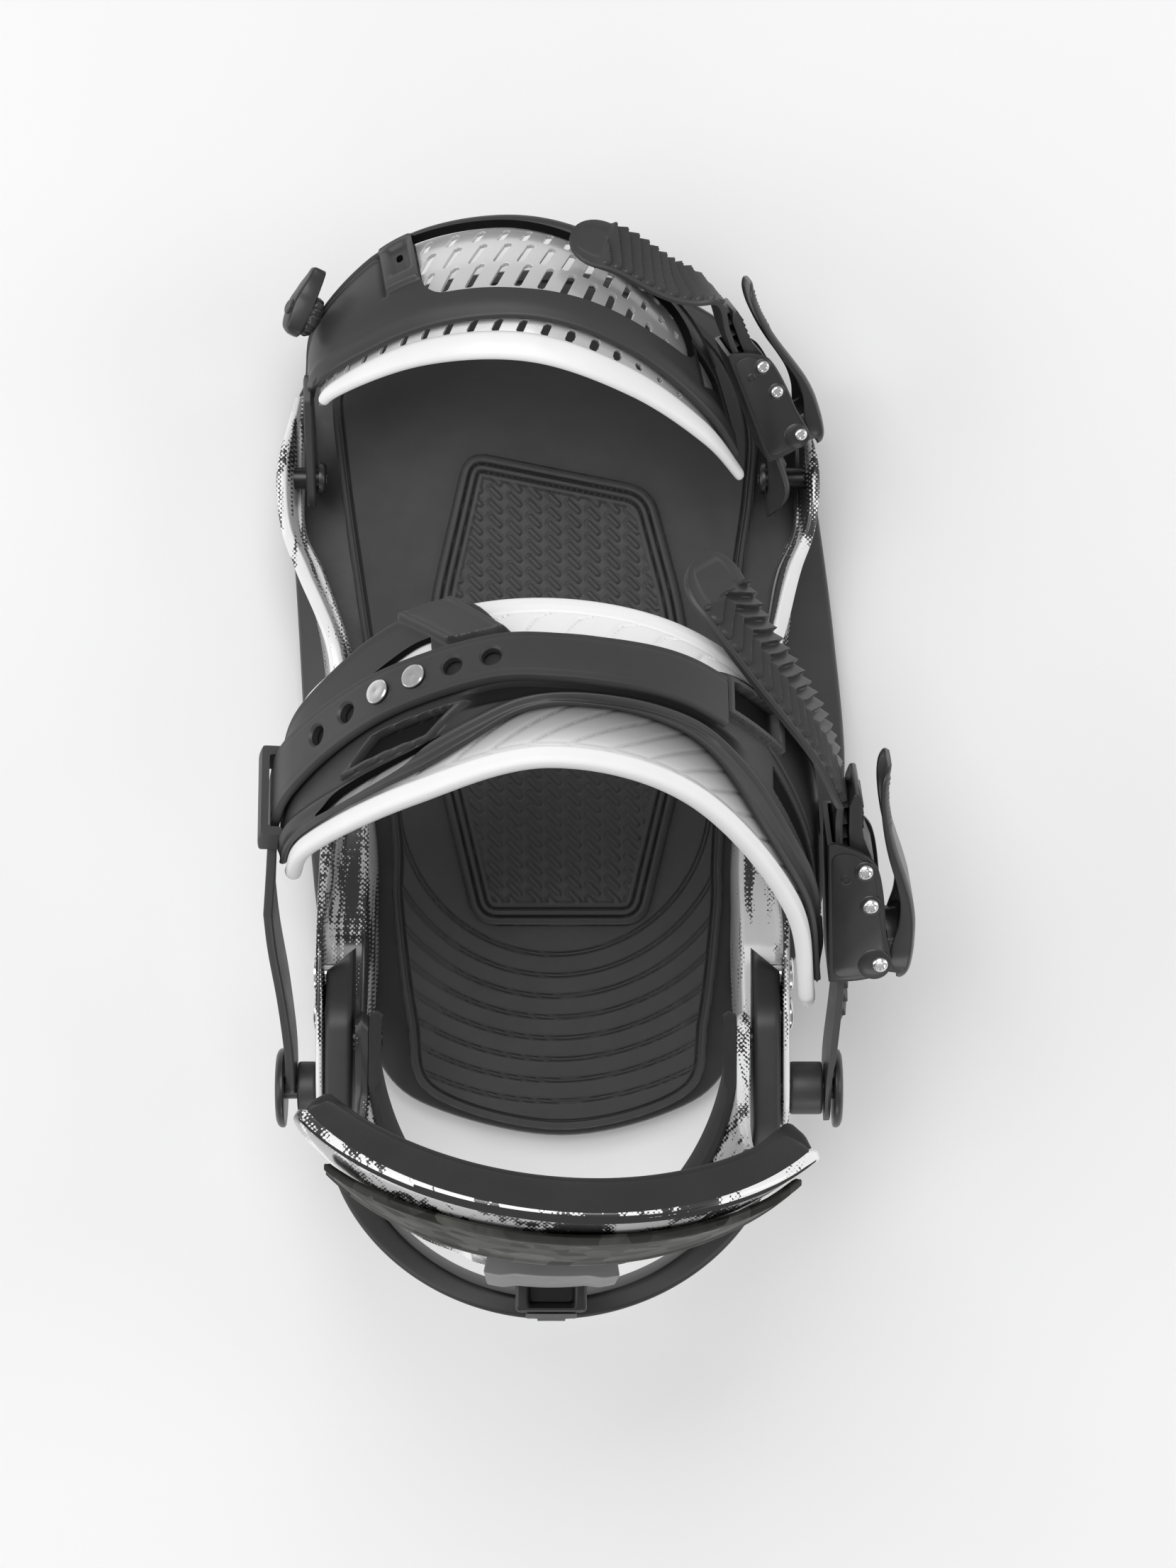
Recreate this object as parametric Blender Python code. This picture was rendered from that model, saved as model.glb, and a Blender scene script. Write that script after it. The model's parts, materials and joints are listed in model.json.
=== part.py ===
"""Strap-in snowboard binding for the right foot.

The model stands on the board plane (Z = 0) with the toe towards +Y and the outer side of the
foot towards +X. The origin is the middle of the mounting disc's underside. Shapes are
written in millimetres and scaled to metres when their meshes are made.
"""

import math

import bmesh
import bpy
from mathutils import Matrix, Vector

MM = 0.001
GAP = 0.3

# Layers of the base, as (underside, top) heights
BUSHING_Z = (0.0, 3.0)
FLOOR_Z = (3.3, 9.0)
FOOTBED_Z = (9.3, 14.0)
GRIP_PAD_Z = (14.3, 16.8)

# Mounting disc and its four screws on the 40 mm square pattern
DISC_HUB_R = 46.0
DISC_FLANGE_R = 50.0
DISC_STEP_Z = 6.0
DISC_TOP_Z = 8.4
DISC_CLEARANCE = 0.5
SCREW_PITCH = 40.0
SCREW_HEAD_R = 5.2
SCREW_SHANK_R = 2.9

# Places of the pivots, all of them on axes along X
ANKLE_PIVOT = Vector((0.0, -104.0, 50.0))
HIGHBACK_PIVOT = Vector((0.0, -90.0, 58.0))
TOE_PIVOT = Vector((0.0, 64.0, 24.0))
BOLT_R = 3.0
BOLT_CLEARANCE = 0.25
HOOP_BOLTS_YZ = ((-73.0, 50.0), (-84.0, 47.0))

# Heel hoop, a band bent round the heel
HOOP_ARM_START_Y = -66.0
HOOP_BEND_Y = -112.0
HOOP_INNER_HALF = 54.0
HOOP_INNER_DEPTH = 43.2
HOOP_ARM_T = 7.4
HOOP_BACK_T = 5.6
HOOP_ARM_Z = 54.0
HOOP_BACK_Z = 88.0
HOOP_ARM_HALF_H = 11.0
HOOP_BACK_HALF_H = 13.0

# Layers of the straps, as offsets outwards from the surface that faces the boot
ANKLE_PAD_LAYER = (0.0, 3.5)
ANKLE_FRAME_LAYER = (3.9, 6.1)
ANKLE_LINK_LAYER = (6.8, 9.3)
TOE_WEB_LAYER = (0.0, 1.5)
TOE_FRAME_LAYER = (1.9, 4.9)
TOE_TRIM_LAYER = (0.0, 1.5)

# Ratchets: the ankle's is full size, the toe's is the same design made smaller
TOE_RATCHET_SCALE = 0.8
LADDER_HALF_W = 11.0
LADDER_BASE_T = 1.6
LADDER_TOOTH_H = 1.4
LADDER_TOOTH_PITCH = 4.0
WALL_IN = 12.6
WALL_OUT = 14.4

BODY_AT = {
    "root": Vector((0.0, 0.0, 0.0)),
    "disc": Vector((0.0, 0.0, 0.0)),
    "highback": HIGHBACK_PIVOT,
    "lean_block": Vector((0.0, -153.0, 107.0)),
    "lean_lever": Vector((0.0, -158.6, 111.6)),
    "ankle_strap": ANKLE_PIVOT,
    "toe_strap": TOE_PIVOT,
}


# ---------------------------------------------------------------- small tools


def principled(name, colour, roughness, metallic=0.0):
    mat = bpy.data.materials.new(name)
    mat.use_nodes = True
    shader = mat.node_tree.nodes["Principled BSDF"]
    shader.inputs["Base Color"].default_value = (*colour, 1.0)
    shader.inputs["Roughness"].default_value = roughness
    shader.inputs["Metallic"].default_value = metallic
    mat.diffuse_color = (*colour, 1.0)
    return mat


def spline(points, t):
    """Point at t, from 0 to 1, on the smooth curve through evenly spaced points."""
    spans = len(points) - 1
    at = min(max(t, 0.0), 1.0) * spans
    i = min(int(at), spans - 1)
    f = at - i
    p1 = Vector(points[i])
    p2 = Vector(points[i + 1])
    p0 = Vector(points[i - 1]) if i > 0 else p1 * 2 - p2
    p3 = Vector(points[i + 2]) if i + 2 <= spans else p2 * 2 - p1
    tangent_1 = (p2 - p0) / 2
    tangent_2 = (p3 - p1) / 2
    f2 = f * f
    f3 = f2 * f
    return (
        p1 * (2 * f3 - 3 * f2 + 1)
        + tangent_1 * (f3 - 2 * f2 + f)
        + p2 * (3 * f2 - 2 * f3)
        + tangent_2 * (f3 - f2)
    )


def smooth_loop(points, per_span):
    """Closed smooth outline through the points, with per_span points to each span."""
    count = len(points)
    loop = []
    for i in range(count):
        near = [points[(i + k) % count] for k in (-1, 0, 1, 2)]
        for k in range(per_span):
            loop.append(spline(near, (1 + k / per_span) / 3))
    return loop


def rounded_loop(corners, count):
    """Closed outline whose corners (x, y, reach) are rounded by quadratic curves."""
    loop = []
    for i, (x, y, reach) in enumerate(corners):
        corner = Vector((x, y))
        before = Vector(corners[i - 1][:2])
        after = Vector(corners[(i + 1) % len(corners)][:2])
        start = corner + (before - corner).normalized() * reach
        end = corner + (after - corner).normalized() * reach
        for t in steps(0, 1, count):
            loop.append(start * (1 - t) ** 2 + corner * 2 * t * (1 - t) + end * t**2)
    return loop


def steps(start, end, count):
    """count + 1 even values from start to end."""
    return [start + (end - start) * k / count for k in range(count + 1)]


def blend(a, b, t):
    return a + (b - a) * t


def ease(t):
    t = min(max(t, 0.0), 1.0)
    return t * t * (3 - 2 * t)


BODIES = {}


def body_empty(body):
    """The empty on the body's joint, which the body's pieces are parented to."""
    if body not in BODIES:
        empty = bpy.data.objects.new(f"{body}_axis", None)
        empty.location = BODY_AT[body] * MM
        bpy.context.scene.collection.objects.link(empty)
        BODIES[body] = empty
    return BODIES[body]


def add_piece(name, verts, faces, mat, body="root", smooth=True):
    """A mesh object from millimetre points in world place, parented to its body's empty."""
    at = BODY_AT[body]
    mesh = bpy.data.meshes.new(name)
    mesh.from_pydata([(Vector(v) - at) * MM for v in verts], [], faces)
    bm = bmesh.new()
    bm.from_mesh(mesh)
    bmesh.ops.recalc_face_normals(bm, faces=bm.faces)
    bm.to_mesh(mesh)
    bm.free()
    obj = bpy.data.objects.new(name, mesh)
    obj.parent = body_empty(body)
    bpy.context.scene.collection.objects.link(obj)
    if mat:
        mesh.materials.append(mat)
    if smooth:
        mesh.shade_smooth()
        mesh.set_sharp_from_angle(angle=math.radians(35))
    return obj


def boolean(obj, other, operation="DIFFERENCE"):
    """Cuts obj by other, or joins other to it, and keeps other as a hidden wire guide."""
    other.hide_render = True
    other.display_type = "WIRE"
    mod = obj.modifiers.new(f"{operation.lower()}_{other.name}", "BOOLEAN")
    mod.operation = operation
    mod.object = other
    mod.solver = "EXACT"


def loft(name, rings, mat, body="root"):
    """Closed solid through rings of equally many points, with flat ends."""
    count = len(rings[0])
    verts = [p for ring in rings for p in ring]
    faces = []
    for r in range(len(rings) - 1):
        for k in range(count):
            a = r * count + k
            b = r * count + (k + 1) % count
            faces.append((a, b, b + count, a + count))
    last = (len(rings) - 1) * count
    faces.append(tuple(range(count))[::-1])
    faces.append(tuple(range(last, last + count)))
    return add_piece(name, verts, faces, mat, body)


def plate(name, outline, low, high, mat, body="root"):
    """Flat plate over an XY outline, between two heights."""
    rings = [[Vector((p[0], p[1], z)) for p in outline] for z in (low, high)]
    return loft(name, rings, mat, body)


def turned(name, profile, at, axis, mat, body="root", sides=24):
    """Turned solid: profile is (radius, distance along the axis) from one end to the other."""
    axis = Vector(axis).normalized()
    side = axis.orthogonal().normalized()
    up = axis.cross(side)
    rings = []
    for radius, along in profile:
        ring = []
        for k in range(sides):
            turn = 2 * math.pi * k / sides
            ring.append(Vector(at) + axis * along + (side * math.cos(turn) + up * math.sin(turn)) * radius)
        rings.append(ring)
    return loft(name, rings, mat, body)


def hole(obj, at, axis, radius, half_length, body="root", sides=20):
    """Round hole through obj, centred at a point."""
    name = f"cutter_{obj.name}_{len(obj.modifiers)}"
    profile = ((radius, -half_length), (radius, half_length))
    boolean(obj, turned(name, profile, at, axis, None, body, sides))


def thick_sheet(name, points, normals, layer, mat, body="root", keep=None):
    """Closed solid between two offsets of a grid, with the cells that keep refuses left open."""
    rows = len(points)
    cols = len(points[0])
    verts = []
    for offset in layer:
        for i in range(rows):
            for j in range(cols):
                depth = offset(i, j) if callable(offset) else offset
                verts.append(points[i][j] + normals[i][j] * depth)
    skin = rows * cols

    def kept(i, j):
        inside = 0 <= i < rows - 1 and 0 <= j < cols - 1
        return inside and (keep is None or keep(i, j))

    faces = []
    used = set()
    for i in range(rows - 1):
        for j in range(cols - 1):
            if not kept(i, j):
                continue
            corners = [(i, j), (i + 1, j), (i + 1, j + 1), (i, j + 1)]
            near = [(i, j - 1), (i + 1, j), (i, j + 1), (i - 1, j)]
            low = [a * cols + b for a, b in corners]
            faces.append(tuple(low[::-1]))
            faces.append(tuple(k + skin for k in low))
            for side in range(4):
                if not kept(*near[side]):
                    a = low[side]
                    b = low[(side + 1) % 4]
                    faces.append((a, b, b + skin, a + skin))
            used.update(low)
            used.update(k + skin for k in low)
    order = {old: new for new, old in enumerate(sorted(used))}
    verts = [verts[k] for k in sorted(used)]
    faces = [tuple(order[k] for k in face) for face in faces]
    return add_piece(name, verts, faces, mat, body)


def surface_grid(surface, us, vs):
    """Points and outward normals of a surface whose u runs to +X and whose v runs to +Y."""
    nudge = 0.002
    points = []
    normals = []
    for u in us:
        row = [surface(u, v) for v in vs]
        row_normals = []
        for v in vs:
            low_u = max(u - nudge, 0.0)
            high_u = min(u + nudge, 1.0)
            low_v = max(v - nudge, 0.0)
            high_v = min(v + nudge, 1.0)
            along_u = surface(high_u, v) - surface(low_u, v)
            along_v = surface(u, high_v) - surface(u, low_v)
            row_normals.append(along_u.cross(along_v).normalized())
        points.append(row)
        normals.append(row_normals)
    return points, normals


# ---------------------------------------------------------------- materials

DARK_PLASTIC = principled("dark_plastic", (0.045, 0.045, 0.047), 0.45)
BUCKLE_BLACK = principled("buckle_black", (0.022, 0.022, 0.024), 0.38)
PRINTED_SHELL = principled("printed_shell", (0.72, 0.72, 0.72), 0.32)
FOOTBED_FOAM = principled("footbed_foam", (0.047, 0.047, 0.048), 0.7)
PAD_RUBBER = principled("pad_rubber", (0.036, 0.036, 0.037), 0.65)
SOFT_BLACK = principled("soft_black", (0.03, 0.03, 0.031), 0.8)
WHITE_PAD = principled("white_pad", (0.82, 0.82, 0.82), 0.5)
SILVER_WEB = principled("silver_web", (0.6, 0.6, 0.61), 0.35)
CARBON = principled("carbon", (0.04, 0.04, 0.038), 0.4)
HOOP_METAL = principled("hoop_metal", (0.04, 0.04, 0.042), 0.35, 0.6)
SPINE_GREY = principled("spine_grey", (0.16, 0.16, 0.16), 0.45)
STEEL = principled("steel", (0.75, 0.75, 0.76), 0.25, 1.0)


# ---------------------------------------------------------------- base

FLOOR_OUTLINE = (
    (-38, -111), (-53, -94), (-64, -74), (-69, -38), (-71, 0), (-73, 35), (-75, 62), (-74, 84),
    (-60, 106), (-38, 119.5), (0, 124), (36, 116), (58, 100), (70, 80), (74, 58), (79, 20),
    (82, -19), (77, -50), (65, -76), (54, -93), (39, -111), (2, -120.5),
)

FOOTBED_OUTLINE = (
    (-35, -108.5), (-41.5, -87), (-45.5, -55), (-46, -33), (-54, 20), (-61, 70), (-61.5, 92),
    (-52, 109), (-30, 119.5), (2, 122.5), (30, 115.5), (48, 101), (56.5, 80), (56, 60), (52.5, 32),
    (47.5, -36), (47, -56), (43.5, -87), (37.5, -108.5), (2, -118.5),
)

# Corners of the raised pad, each with how far its rounding reaches along the sides
GRIP_PAD_CORNERS = (
    (-25, 72.5, 7), (27.5, 62, 7), (42, 8, 30), (25.5, -61, 7), (-22.5, -61, 7), (-39.5, 10, 30),
)

# Rail sections from toe to heel: Y, foot height, outer foot, outer top, top height,
# inner top, ledge height, ledge outer corner, ledge inner corner, inner foot
LEFT_RAIL = (
    (88, 6, 72.0, 72.6, 14, 71.2, 12, 70.9, 70.4, 70.0),
    (78, 6, 72.6, 74.0, 31, 71.9, 18, 71.2, 70.6, 70.2),
    (65, 6, 73.0, 76.5, 38, 73.6, 18, 71.4, 70.7, 70.2),
    (50, 6, 73.0, 75.5, 38, 72.4, 17, 71.0, 70.3, 69.8),
    (38, 6, 70.5, 71.5, 36, 67.6, 16, 66.2, 65.0, 64.4),
    (15, 6, 66.0, 62.5, 34, 58.6, 16, 58.2, 57.2, 56.6),
    (-10, 6, 64.0, 62.0, 38, 58.0, 18, 56.4, 54.0, 53.0),
    (-40, 6, 63.6, 63.8, 48, 60.6, 28, 59.0, 51.5, 49.5),
    (-58, 6, 63.6, 64.0, 58, 62.2, 38, 61.9, 51.5, 49.5),
    (-68, 8, 63.6, 64.0, 62, 62.2, 41.5, 61.9, 51.5, 49.5),
    (-86, 14, 63.4, 64.0, 63, 62.2, 41.5, 61.9, 52.0, 50.0),
    (-104, 26, 63.0, 64.0, 62, 62.2, 41.5, 61.9, 53.0, 52.0),
    (-114, 36, 62.8, 64.0, 56, 62.2, 41.5, 61.9, 54.0, 53.0),
)
RIGHT_RAIL_SHIFT = -3.0


def rail_ring(section, side):
    """Closed cross-section of a side rail, with the ledge that the hoop's arm lies on."""
    y, foot, outer_foot, outer_top, top, inner_top, ledge, step, lip, inner_foot = section
    corners = (
        (outer_foot, foot), (outer_top, top), (inner_top, top),
        (step, ledge), (lip, ledge), (inner_foot, foot),
    )
    shift = RIGHT_RAIL_SHIFT * ease((y - 20) / 20) if side > 0 else 0.0
    return [Vector((side * (x + shift), y, z)) for x, z in corners]


def rail(side):
    rows = steps(0, 1, 2 * (len(LEFT_RAIL) - 1))
    rings = [rail_ring(spline(LEFT_RAIL, t), side) for t in rows]
    return loft(f"guide_rail_{'right' if side > 0 else 'left'}", rings, None)


def build_base():
    bushing = plate("base_bushing", smooth_loop(FLOOR_OUTLINE, 2), *BUSHING_Z, PAD_RUBBER)
    bushing.data.transform(Matrix.Diagonal((0.97, 0.97, 1, 1)))
    hole(bushing, (0, 0, 0), (0, 0, 1), DISC_FLANGE_R + 1, 20, sides=36)

    base = plate("baseplate", smooth_loop(FLOOR_OUTLINE, 3), *FLOOR_Z, PRINTED_SHELL)
    for side in (-1, 1):
        boolean(base, rail(side), "UNION")
    hole(base, (0, 0, 0), (0, 0, 1), DISC_HUB_R + DISC_CLEARANCE, 20, sides=36)
    seat = ((DISC_FLANGE_R + DISC_CLEARANCE, DISC_STEP_Z - GAP), (DISC_FLANGE_R + DISC_CLEARANCE, 20))
    boolean(base, turned("cutter_disc_seat", seat, (0, 0, 0), (0, 0, 1), None, sides=36))
    for side in (-1, 1):
        for y, z in (*HOOP_BOLTS_YZ, ANKLE_PIVOT.yz, TOE_PIVOT.yz):
            middle = 66 if y < 0 else 71
            hole(base, (side * middle, y, z), (1, 0, 0), BOLT_R + BOLT_CLEARANCE, 7, sides=12)

    plate("footbed", smooth_loop(FOOTBED_OUTLINE, 3), *FOOTBED_Z, FOOTBED_FOAM)
    plate("grip_pad", rounded_loop(GRIP_PAD_CORNERS, 5), *GRIP_PAD_Z, PAD_RUBBER)


def build_disc():
    profile = (
        (DISC_HUB_R - 1, 0.0), (DISC_HUB_R, 1.0), (DISC_HUB_R, DISC_STEP_Z),
        (DISC_FLANGE_R, DISC_STEP_Z), (DISC_FLANGE_R, DISC_TOP_Z - 0.6), (DISC_FLANGE_R - 0.6, DISC_TOP_Z),
    )
    disc = turned("mounting_disc", profile, (0, 0, 0), (0, 0, 1), DARK_PLASTIC, "disc", 36)
    half = SCREW_PITCH / 2
    head_z = 4.2
    corners = [(x, y) for x in (-half, half) for y in (-half, half)]
    for number, (x, y) in enumerate(corners, 1):
        pocket = ((SCREW_SHANK_R + 0.4, -5), (SCREW_SHANK_R + 0.4, head_z),
                  (SCREW_HEAD_R + 0.4, head_z), (SCREW_HEAD_R + 0.4, 20))
        cutter = turned(f"cutter_pocket_{number}", pocket, (x, y, 0), (0, 0, 1), None, "disc", 12)
        boolean(disc, cutter)
        screw = (
            (SCREW_SHANK_R, 0.4), (SCREW_SHANK_R, head_z + GAP), (SCREW_HEAD_R, head_z + GAP),
            (SCREW_HEAD_R, 7.2), (SCREW_HEAD_R - 0.8, 8.0), (1.9, 8.0), (1.7, 6.0),
        )
        turned(f"disc_screw_{number}", screw, (x, y, 0), (0, 0, 1), STEEL, "disc", 12)


# ---------------------------------------------------------------- heel hoop


def hoop_station(t):
    """Inner point, outward direction, thickness, middle height and half height at t, 0 to 1."""
    arm = HOOP_ARM_START_Y - HOOP_BEND_Y
    arc_share = 0.56
    side = -1 if t < 0.5 else 1
    from_end = min(t, 1 - t)
    arm_share = (1 - arc_share) / 2
    if from_end < arm_share:
        run = from_end / arm_share
        inner = Vector((side * HOOP_INNER_HALF, HOOP_ARM_START_Y - arm * run, 0))
        out = Vector((side, 0, 0))
        rise = 0.0
        reach = ease(run * 2.2)
        half_h = blend(6.5, HOOP_ARM_HALF_H, reach)
    else:
        turn = math.pi / 2 * (from_end - arm_share) / (0.5 - arm_share)
        c, s = math.cos(turn), math.sin(turn)
        inner = Vector((side * HOOP_INNER_HALF * c, HOOP_BEND_Y - HOOP_INNER_DEPTH * s, 0))
        out = Vector((side * HOOP_INNER_DEPTH * c, -HOOP_INNER_HALF * s, 0)).normalized()
        rise = ease(turn / (math.pi / 2))
        half_h = blend(HOOP_ARM_HALF_H, HOOP_BACK_HALF_H, rise)
    thick = blend(HOOP_ARM_T, HOOP_BACK_T, rise)
    middle = blend(HOOP_ARM_Z, HOOP_BACK_Z, rise)
    if half_h < HOOP_ARM_HALF_H:
        middle -= HOOP_ARM_HALF_H - half_h
    return inner, out, thick, middle, half_h


def build_hoop():
    edge = 1.2
    rings = []
    for t in steps(0, 1, 36):
        inner, out, thick, middle, half_h = hoop_station(t)
        section = (
            (0, -half_h + edge), (edge, -half_h), (thick - edge, -half_h), (thick, -half_h + edge),
            (thick, half_h - edge), (thick - edge, half_h), (edge, half_h), (0, half_h - edge),
        )
        rings.append([inner + out * a + Vector((0, 0, middle + b)) for a, b in section])
    hoop = loft("heel_hoop", rings, HOOP_METAL)
    for side in (-1, 1):
        for y, z in (*HOOP_BOLTS_YZ, ANKLE_PIVOT.yz, HIGHBACK_PIVOT.yz):
            hole(hoop, (side * 58, y, z), (1, 0, 0), BOLT_R + BOLT_CLEARANCE, 7, sides=12)
    names = {-1: "left", 1: "right"}
    for side in (-1, 1):
        for number, (y, z) in enumerate(HOOP_BOLTS_YZ, 1):
            bolt = (
                (1.6, 64.7), (1.7, 65.5), (4.0, 65.5), (4.6, 65.0), (4.6, 64.4), (BOLT_R, 64.4), (BOLT_R, 55.0),
            )
            turned(f"hoop_bolt_{names[side]}_{number}", bolt, (0, y, z), (side, 0, 0), STEEL, sides=12)
        pin = ((BOLT_R, 61.4), (BOLT_R, 47.8), (4.6, 47.8), (4.6, 47.0), (3.8, 46.2), (1.7, 46.2), (1.6, 47.2))
        at = (0, HIGHBACK_PIVOT.y, HIGHBACK_PIVOT.z)
        turned(f"highback_bolt_{names[side]}", pin, at, (side, 0, 0), STEEL, sides=12)


# ---------------------------------------------------------------- highback

# Rows from the bottom edge to the top edge: half width, half angle in degrees, Y at the
# middle, depth of the curve, height at the middle, height at the side edge
HIGHBACK_ROWS = (
    (49.5, 90, -144.5, 60.5, 72, 50),
    (49.5, 90, -145.5, 61.5, 84, 66),
    (49.0, 82, -144.6, 40, 102, 86),
    (49.8, 73, -142.4, 29, 122, 108),
    (51.8, 66, -139, 25, 147, 134),
    (55.0, 61, -133, 22.5, 173, 160),
    (58.5, 57, -127, 20.5, 199, 184),
    (60.5, 54, -120.5, 18, 221, 200),
    (58.5, 51, -118, 15.5, 229, 206),
)
HIGHBACK_SHELL_T = 3.2
HIGHBACK_TWIST = -0.08


def highback_surface(u, v):
    """Boot side of the highback: u from left to right, v from the bottom edge to the top."""
    half, angle, back, depth, high, side_high = spline(HIGHBACK_ROWS, v)
    across = 2 * u - 1
    angle = math.radians(angle)
    x = half * math.sin(angle * across) / math.sin(angle)
    y = back + depth * (1 - math.cos(angle * across)) / (1 - math.cos(angle))
    z = high + (side_high - high) * abs(across) ** 2.4
    lift = ease((v - 0.35) / 0.65)
    return Vector((x + 2.5 * lift, y + HIGHBACK_TWIST * x * lift, z))


def highback_piece(name, us, vs, layer, mat, keep=None):
    """Part of the highback between two distances behind the surface that the boot touches."""
    points, normals = surface_grid(highback_surface, us, vs)
    return thick_sheet(name, points, normals, layer, mat, "highback", keep)


def build_highback():
    us = steps(0, 1, 20)
    vs = steps(0, 1, 11)

    def solid(i, j):
        """False inside the two windows beside the spine."""
        return not ((4 <= i < 7 or 13 <= i < 16) and 4 <= j < 7)

    shell = highback_piece("highback_shell", us, vs, (0.0, HIGHBACK_SHELL_T), PRINTED_SHELL, solid)
    for side in (-1, 1):
        at = (side * 52, HIGHBACK_PIVOT.y, HIGHBACK_PIVOT.z)
        hole(shell, at, (1, 0, 0), BOLT_R + 0.4, 6, "highback", 12)
    pad_vs = steps(0.5, 0.985, 5)
    highback_piece("highback_pad", steps(0.03, 0.97, 16), pad_vs, (-4.8, -0.7), SOFT_BLACK)
    band_us = steps(0.085, 0.955, 18)
    back = HIGHBACK_SHELL_T + 0.7
    points, normals = surface_grid(highback_surface, band_us, steps(0, 1, 2))
    for i, u in enumerate(band_us):
        spread = 1 - abs(2 * u - 1) ** 3 * 0.72
        for j, k in enumerate((-1, 0, 1)):
            v = 0.765 + 0.072 * spread * k
            ps, ns = surface_grid(highback_surface, [u], [v])
            points[i][j] = ps[0][0]
            normals[i][j] = ns[0][0]
    thick_sheet("cross_band", points, normals, (back, back + 3.0), CARBON, "highback")

    build_spine(back)
    build_lean_block()


def build_spine(back):
    """Rib up the middle, forked at its foot where the lean block slides."""
    low_v, slot_v, high_v = 0.235, 0.41, 0.6
    spine_vs = [*steps(low_v, slot_v, 3), *steps(slot_v, high_v, 4)[1:]]
    across = (-1, -0.79, 0, 0.79, 1)
    points, normals = surface_grid(highback_surface, steps(0, 1, 4), spine_vs)
    for j, v in enumerate(spine_vs):
        half = blend(0.128, 0.112, (v - low_v) / (high_v - low_v))
        for i, k in enumerate(across):
            ps, ns = surface_grid(highback_surface, [0.5 + half * k], [v])
            points[i][j] = ps[0][0]
            normals[i][j] = ns[0][0]

    def solid(i, j):
        return i in (0, 3) or j >= 3

    thick_sheet("highback_spine", points, normals, (back, back + 4.4), SPINE_GREY, "highback", solid)


def box_piece(name, low, high, mat, body):
    outline = ((low[0], low[1]), (high[0], low[1]), (high[0], high[1]), (low[0], high[1]))
    return plate(name, outline, low[2], high[2], mat, body)


def build_lean_block():
    """Stop that the highback leans on the hoop with; it slides up the spine's fork."""
    half_w = 9.2
    low = (-half_w, -157.4, 101.5)
    high = (half_w, -148.6, 113.5)
    block = box_piece("lean_block", low, high, BUCKLE_BLACK, "lean_block")
    bevel = block.modifiers.new("bevel", "BEVEL")
    bevel.width = 0.8 * MM
    bevel.segments = 1
    pocket = box_piece("cutter_lean_pocket", (-5.9, -155.6, 105.5), (5.9, -150.6, 120), None, "lean_block")
    boolean(block, pocket)
    rim = ((-5.6, -159.6), (5.6, -159.6), (6.6, -158.8), (6.6, -157.8), (-6.6, -157.8), (-6.6, -158.8))
    lever = plate("lean_lever", rim, 103.2, 112.4, SPINE_GREY, "lean_lever")
    grip = ((-3, -160.4), (3, -160.4), (3, -159.4), (-3, -159.4))
    catch = plate("guide_lean_grip", grip, 103.2, 105.2, None, "lean_lever")
    boolean(lever, catch, "UNION")


# ---------------------------------------------------------------- ankle strap

# Edges of the boot side of the ankle strap, from the inner ankle to the outer ankle
ANKLE_HEEL_EDGE = (
    (-67, -48, 80), (-60, -39, 107), (-33, -27, 138), (0, -18, 147),
    (34, -27, 137), (60, -55, 101), (66.5, -84, 64),
)
ANKLE_TOE_EDGE = (
    (-67, -13, 80), (-59, 4, 98), (-31, 20.5, 113), (2, 24.5, 118),
    (35, 17, 113), (60, -3, 93), (66.5, -30, 64),
)
ANKLE_CROWN = 2.5


def ankle_surface(u, v):
    """Boot side of the ankle strap: u from the inner ankle, v from the heel edge."""
    point = spline(ANKLE_HEEL_EDGE, u).lerp(spline(ANKLE_TOE_EDGE, u), v)
    crown = ANKLE_CROWN * math.sin(math.pi * v) * math.sin(math.pi * u)
    return point + Vector((0, 0.4, 0.9)) * crown


def build_ankle_strap():
    us = steps(0, 1, 26)
    points, normals = surface_grid(ankle_surface, us, steps(0, 1, 4))
    thick_sheet("ankle_pad", points, normals, ANKLE_PAD_LAYER, WHITE_PAD, "ankle_strap")

    frame_us = steps(0.015, 0.985, 28)
    frame_vs = steps(0, 1, 6)
    points = []
    normals = []
    for u in frame_us:
        low = blend(0.16, 0.12, u)
        high = blend(0.9, 0.86, u) - 0.2 * math.sin(math.pi * u)
        ps, ns = surface_grid(ankle_surface, [u], [blend(low, high, k) for k in frame_vs])
        points.append(ps[0])
        normals.append(ns[0])

    def solid(i, j):
        left_slot = 3 <= i < 9 and j == 1
        right_window = 20 <= i < 24 and 3 <= j < 5
        middle_window = 11 <= i < 18 and 1 <= j < 3
        return not (left_slot or right_window or middle_window)

    thick_sheet("ankle_frame", points, normals, ANKLE_FRAME_LAYER, DARK_PLASTIC, "ankle_strap", solid)
    build_ankle_link()


LINK_HALF_W = 8.5
LINK_ARCH_HALF_W = 6.8
LINK_HOLES_U = steps(0.213, 0.431, 5)
LINK_ARM = (
    (-69.8, -104, 50), (-69.9, -92, 55), (-71.4, -76, 62.5), (-73.4, -61, 71), (-74.2, -48, 79.5),
)
LINK_ARCH_U = (0.05, 0.69)
KEEPER_U = (0.055, 0.075, 0.095)


def link_v(u):
    """Middle line of the link strap on the ankle strap."""
    rise = blend(0.47, 0.57, ease(u / 0.3))
    return rise - 0.025 * ease((u - 0.43) / 0.08) + 0.04 * ease((u - 0.54) / 0.12)


def link_half(u):
    """Half of the link strap's width, which narrows from the arm to the arch."""
    return blend(LINK_HALF_W, LINK_ARCH_HALF_W, ease(u / 0.35))


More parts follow.
